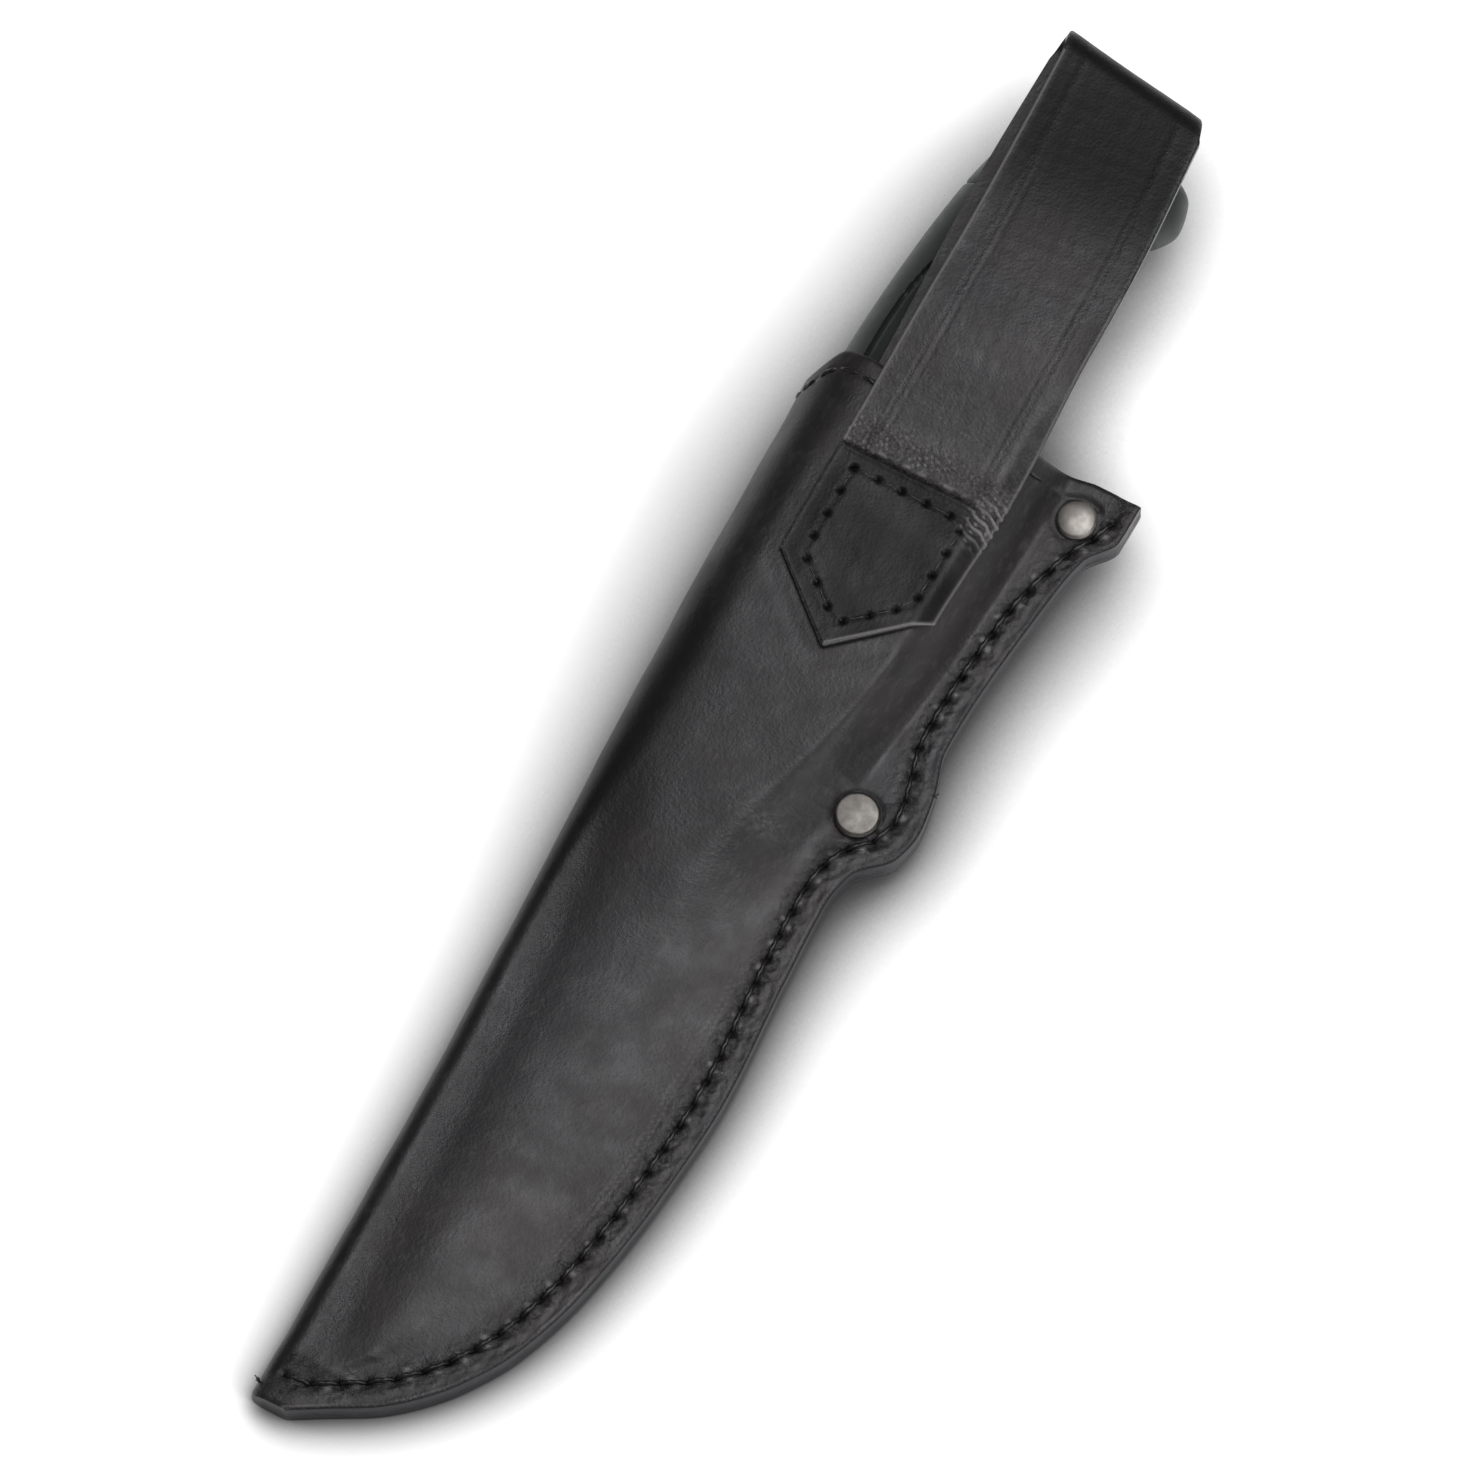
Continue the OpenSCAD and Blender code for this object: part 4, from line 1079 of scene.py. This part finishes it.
def grip_rings(ys, sides, shrink):
    """Rings of the handle's section; shrink gives how far each ring is drawn in."""
    a = np.arange(sides) * math.tau / sides
    power = 2 / GRIP_POWER
    cx = np.sign(np.cos(a)) * np.abs(np.cos(a)) ** power
    cz = np.sign(np.sin(a)) * np.abs(np.sin(a)) ** power
    left, right, depth = grip_back(ys)[:, None], grip_belly(ys)[:, None], grip_depth(ys)[:, None]
    x = (left + right) / 2 + ((right - left) / 2 - shrink[:, None]) * cx
    return np.stack([x, ys[:, None] * np.ones(sides), (depth - shrink[:, None]) * cz], -1)


def make_grip():
    ys = np.linspace(GRIP_Y, POMMEL_Y - 0.05, 330)
    shrink = 0.7 * bevel(ys - GRIP_Y, 1.2) + 0.55 * bevel(POMMEL_Y - ys, 1.0)
    rings = grip_rings(ys, 260, shrink)
    x, y, z = rings[..., 0], rings[..., 1], rings[..., 2]
    inside = inside_inlay(x, y)
    level = np.maximum(np.abs(z) - POCKET_DEPTH * ease((inside + POCKET_GAP) / 0.5), 4.0)
    rings[..., 2] = np.where(inside > -POCKET_GAP, np.sign(z) * np.minimum(level, np.abs(z)), z)
    rings[..., 0] += 0.02 * ripple(y, z, 9, 61)
    return dressed(loft_mesh("grip_core", rings[::-1]), "knife", "grip_plastic", MOULDED, "grip")


def make_inlay(side, name, node):
    """A soft side panel in its pocket: rounded rim, crowned top and shallow cross ribs."""
    rows, cols = 301, 61
    t = np.linspace(0, 1, rows)
    ys = mix(INLAY_FROM + INLAY_GAP, INLAY_TO - INLAY_GAP, (1 - np.cos(math.pi * t)) / 2)[:, None]
    s = np.sin(np.linspace(-1, 1, cols) * math.pi / 2)[None, :]
    half = np.maximum(inlay_half(ys) - INLAY_GAP, 0.6)
    x = (grip_back(ys) + grip_belly(ys)) / 2 + half * s
    y = ys * np.ones(x.shape)
    rim = np.minimum(half * (1 - np.abs(s)), np.minimum(y - INLAY_FROM, INLAY_TO - y) - INLAY_GAP)
    top = grip_height(x, y) + 0.30 - 0.9 * bevel(rim, 1.1)
    ribs = ease((rim - 3.0) / 1.2) * (0.5 + 0.5 * np.cos(math.tau * y / RIB_PITCH)) ** 2
    top -= 0.35 * ribs
    for at in PIN_YS:
        top -= 0.5 * (1 - ease((np.hypot(x - TANG_X, y - at) - PIN_R) / 0.7))
    upper = np.stack([x, y, side * top], -1)
    lower = np.stack([x, y, side * np.minimum(top - 0.4, INLAY_FLOOR)], -1)
    obj = shell_mesh(name, upper, lower[::THIN, ::THIN], THIN)
    return dressed(obj, "knife", "grip_rubber", RUBBER, node)


def drill(obj, at, axis, radius, length):
    """Cuts a round hole centred on a point of the knife frame."""
    bpy.ops.mesh.primitive_cylinder_add(vertices=64, radius=radius * MM, depth=length * MM)
    cutter = bpy.context.object
    turn = Matrix.Rotation(REST_TILT, 4, "X")
    if axis == "Y":
        turn = turn @ Matrix.Rotation(-math.pi / 2, 4, "X")
    cutter.matrix_world = Matrix.Translation(placed(np.array(at))) @ turn
    cut = obj.modifiers.new("hole", "BOOLEAN")
    cut.object, cut.operation, cut.solver = cutter, "DIFFERENCE", "EXACT"
    bpy.context.view_layer.objects.active = obj
    bpy.ops.object.modifier_apply(modifier=cut.name)
    bpy.data.objects.remove(cutter)


def make_pommel():
    ends = BUTT_ROUND * (1 - np.sin(np.linspace(0, math.pi / 2, 14)[1:]))
    ys = np.concatenate([np.linspace(POMMEL_Y + 0.05, BUTT_Y - BUTT_ROUND, 60), BUTT_Y - ends])
    into = ((ys - BUTT_Y + BUTT_ROUND) / BUTT_ROUND).clip(0, 1)
    shrink = 0.55 * bevel(ys - POMMEL_Y, 1.0) + 1.1 * (1 - np.sqrt(1 - into ** 2))
    obj = loft_mesh("pommel_cap", grip_rings(ys, 200, shrink)[::-1])
    drill(obj, (TANG_X, NUT_Y + 10, 0), "Y", NUT_R + 0.1, 20)
    drill(obj, (*LANYARD_AT, 0), "Z", LANYARD_R + 1, 60)
    return dressed(obj, "knife", "grip_plastic", MOULDED, "pommel")


def make_lanyard_tube():
    half = float(grip_depth(LANYARD_AT[1])) - 1.2
    r, wall, lip = LANYARD_R, 1.0, 0.25
    loop = [(r + wall, -half + lip), (r + wall, half - lip), (r + wall - lip, half), (r + lip, half),
            (r, half - lip), (r, -half + lip), (r + lip, -half), (r + wall - lip, -half)]
    rings = lathe(loop + loop[:1]) + np.array([*LANYARD_AT, 0])
    obj = loft_mesh("lanyard_sleeve", rings, 30, cap=False)
    return dressed(obj, "knife", "nickel", NICKEL, "lanyard_tube")


def make_pins():
    for k, at in enumerate(PIN_YS):
        top = float(grip_height(np.array(TANG_X), np.array(at))) + 0.1
        dome = [(PIN_R * math.cos(a), top - 0.35 + 0.35 * math.sin(a)) for a in np.linspace(0, 1.5, 7)]
        profile = [(r, -z) for r, z in dome[::-1]] + dome
        obj = loft_mesh(f"grip_pin_{k + 1}", lathe(profile) + np.array([TANG_X, at, 0]), 40)
        dressed(obj, "knife", "nickel", NICKEL, "grip_pins")


def notch(y):
    """Depth of the saw teeth cut into the blade's back."""
    from_tooth = np.abs((y - FIRST_TOOTH + TOOTH_PITCH / 2) % TOOTH_PITCH - TOOTH_PITCH / 2)
    return np.where((y > SAW_Y[0]) & (y < SAW_Y[1]), np.maximum(0, TOOTH_DEPTH - 1.3 * from_tooth), 0)


def tick_cut(x, y):
    """Depth of the depth marks engraved every 10 mm, with every fifth one longer."""
    from_tick = abs((y - FIRST_TICK + TICK_PITCH / 2) % TICK_PITCH - TICK_PITCH / 2)
    if from_tick >= 0.4 or not TICKS_Y[0] < y < TICKS_Y[1]:
        return np.zeros_like(x)
    length = LONG_TICK if round((y - FIRST_TICK) / TICK_PITCH + 1) % 5 == 0 else SHORT_TICK
    start = BLADE_BACK_X + TICK_INSET
    return 0.12 * ((x > start) & (x < start + length))


def make_blade():
    tip = BLADE_TIP + 6 * np.linspace(0, 1, 40) ** 1.6
    flat, bevelled = 22, 14
    rings = []
    for y in np.concatenate([tip, np.linspace(BLADE_TIP + 6, RICASSO_Y, 460)[1:]]):
        back = BLADE_BACK_X + float(notch(y))
        edge = float(blade_edge(y))
        mid = mix(BLADE_BACK_X, edge, 0.45)
        half = mix(0.6, BLADE_T / 2, min(1, (y - BLADE_TIP) / 14))
        x = np.concatenate([np.linspace(min(back, edge - 0.1), mid, flat),
                            np.linspace(mid, edge, bevelled + 1)[1:]])
        share = np.clip((x - mid) / max(edge - mid, 1e-6), 0, 1)
        z = mix(half, 0.28, share ** 1.12)
        z[0] -= 0.12 * half
        z = z - tick_cut(x, y)
        upper = np.stack([x, np.full_like(x, y), z], 1)
        lower = np.stack([x, np.full_like(x, y), -z], 1)[::-1]
        rings.append(np.concatenate([upper, lower]))
    n = len(rings[0])
    # The stick tang, and the threaded rod that takes the nut
    a = (np.arange(n) + 0.5) * math.tau / n
    box = np.stack([np.clip(-1.5 * np.cos(a), -1, 1) * TANG_W / 2,
                    np.clip(1.5 * np.sin(a), -1, 1) * BLADE_T / 2], 1)
    rod = np.stack([-np.cos(a) * ROD_R, np.sin(a) * ROD_R], 1)
    for y, section in ((RICASSO_Y + 0.01, box), (TANG_END, box), (TANG_END + 0.01, rod), (ROD_END, rod)):
        rings.append(np.stack([TANG_X + section[:, 0], np.full(n, y), section[:, 1]], 1))
    obj = loft_mesh("blade_steel", np.array(rings), 25)
    return dressed(obj, "knife", "steel", STEEL, "blade")


def make_plate(name, y, thick, shrink, round_off, slot, material, node):
    """An oval plate across the handle with rounded rims."""
    sides = 160
    centre, half_w = sum(GUARD_X) / 2, (GUARD_X[1] - GUARD_X[0]) / 2 - shrink
    a = np.arange(sides) * math.tau / sides
    rings = []
    for t in np.linspace(-1, 1, 15):
        draw = round_off * (1 - math.sqrt(max(0, 1 - abs(t) ** 3)))
        station = np.full(sides, y + thick * (t + 1) / 2)
        rings.append(np.stack([centre + (half_w - draw) * np.cos(a), station,
                               (GUARD_HALF - shrink - draw) * np.sin(a)], 1))
    return dressed(loft_mesh(name, np.array(rings)[::-1]), "knife", slot, material, node)


def make_nut():
    bore, rim = ROD_R + 0.05, 0.4
    rings = lathe([(bore, 0), (NUT_R, 0), (NUT_R, NUT_LENGTH - rim), (NUT_R - rim, NUT_LENGTH),
                   (bore, NUT_LENGTH), (bore, 0)])
    rings = np.stack([rings[..., 0] + TANG_X, rings[..., 2] + NUT_Y, -rings[..., 1]], -1)
    obj = loft_mesh("butt_nut", rings, 30, cap=False)
    return dressed(obj, "knife", "steel", STEEL, "pommel_nut")


make_pouch()
make_welt()
make_belt_loop()
make_threads()
make_rivets()
make_blade()
make_plate("guard_plate", RICASSO_Y, GUARD_T, 0, 1.2, "steel", STEEL, "guard")
make_plate("guard_washer", RICASSO_Y + GUARD_T, SPACER_T, 0.6, 0.3, "grip_rubber", RUBBER, "guard_spacer")
make_grip()
make_inlay(1, "inlay_back", "back_inlay")
make_inlay(-1, "inlay_front", "front_inlay")
make_pins()
make_pommel()
make_nut()
make_lanyard_tube()


# ---- Stage ----
def make_floor():
    size = 6.0
    corners = [(-size, -size, 0), (size, -size, 0), (size, size, 0), (-size, size, 0)]
    mesh = bpy.data.meshes.new("floor")
    mesh.from_pydata(corners, [], [(0, 1, 2, 3)])
    floor = linked("floor", mesh)
    floor.data.materials.append(floor_material())


def make_light(name, place, size, power, colour=(1, 1, 1)):
    """A round soft light that looks at the origin."""
    light = bpy.data.lights.new(name, "AREA")
    light.shape = "DISK"
    light.size = size
    light.energy = power
    light.color = colour
    aim = Vector(place).to_track_quat("Z", "Y").to_matrix().to_4x4()
    linked(name, light).matrix_world = Matrix.Translation(place) @ aim


def make_camera():
    """Looks down on the back of the sheath, almost without perspective."""
    turn, rise = math.radians(27.8), math.radians(71.4)
    distance, width, sensor = 8.0, 0.3059, 36.0
    ca, sa, ce, se = math.cos(turn), math.sin(turn), math.cos(rise), math.sin(rise)
    axes = np.array([[ca, sa, 0], [-sa * se, ca * se, ce], [sa * ce, -ca * ce, se]])
    axes = (placed(axes) - placed(np.zeros(3))) / MM
    aim = placed(np.array([21.6, 172.6, 5.0]))
    data = bpy.data.cameras.new("camera")
    data.sensor_width = sensor
    data.lens = sensor * distance / width
    camera = linked("camera", data)
    rows = np.column_stack([axes.T, aim + axes[2] * distance])
    camera.matrix_world = Matrix([*rows.tolist(), (0, 0, 0, 1)])
    bpy.context.scene.camera = camera


def make_world():
    world = bpy.data.worlds.new("studio")
    bpy.context.scene.world = world
    world.use_nodes = True
    background = world.node_tree.nodes["Background"]
    background.inputs["Color"].default_value = (1, 1, 1, 1)
    background.inputs["Strength"].default_value = 0.16


make_camera()
make_floor()
make_world()
make_light("overhead", (0.13, 0.20, 1.18), 0.66, 6.0, (0.985, 0.97, 1.0))
make_light("side", (0.9, -0.3, 0.7), 0.6, 3.0)
bpy.context.scene.view_settings.view_transform = "Standard"
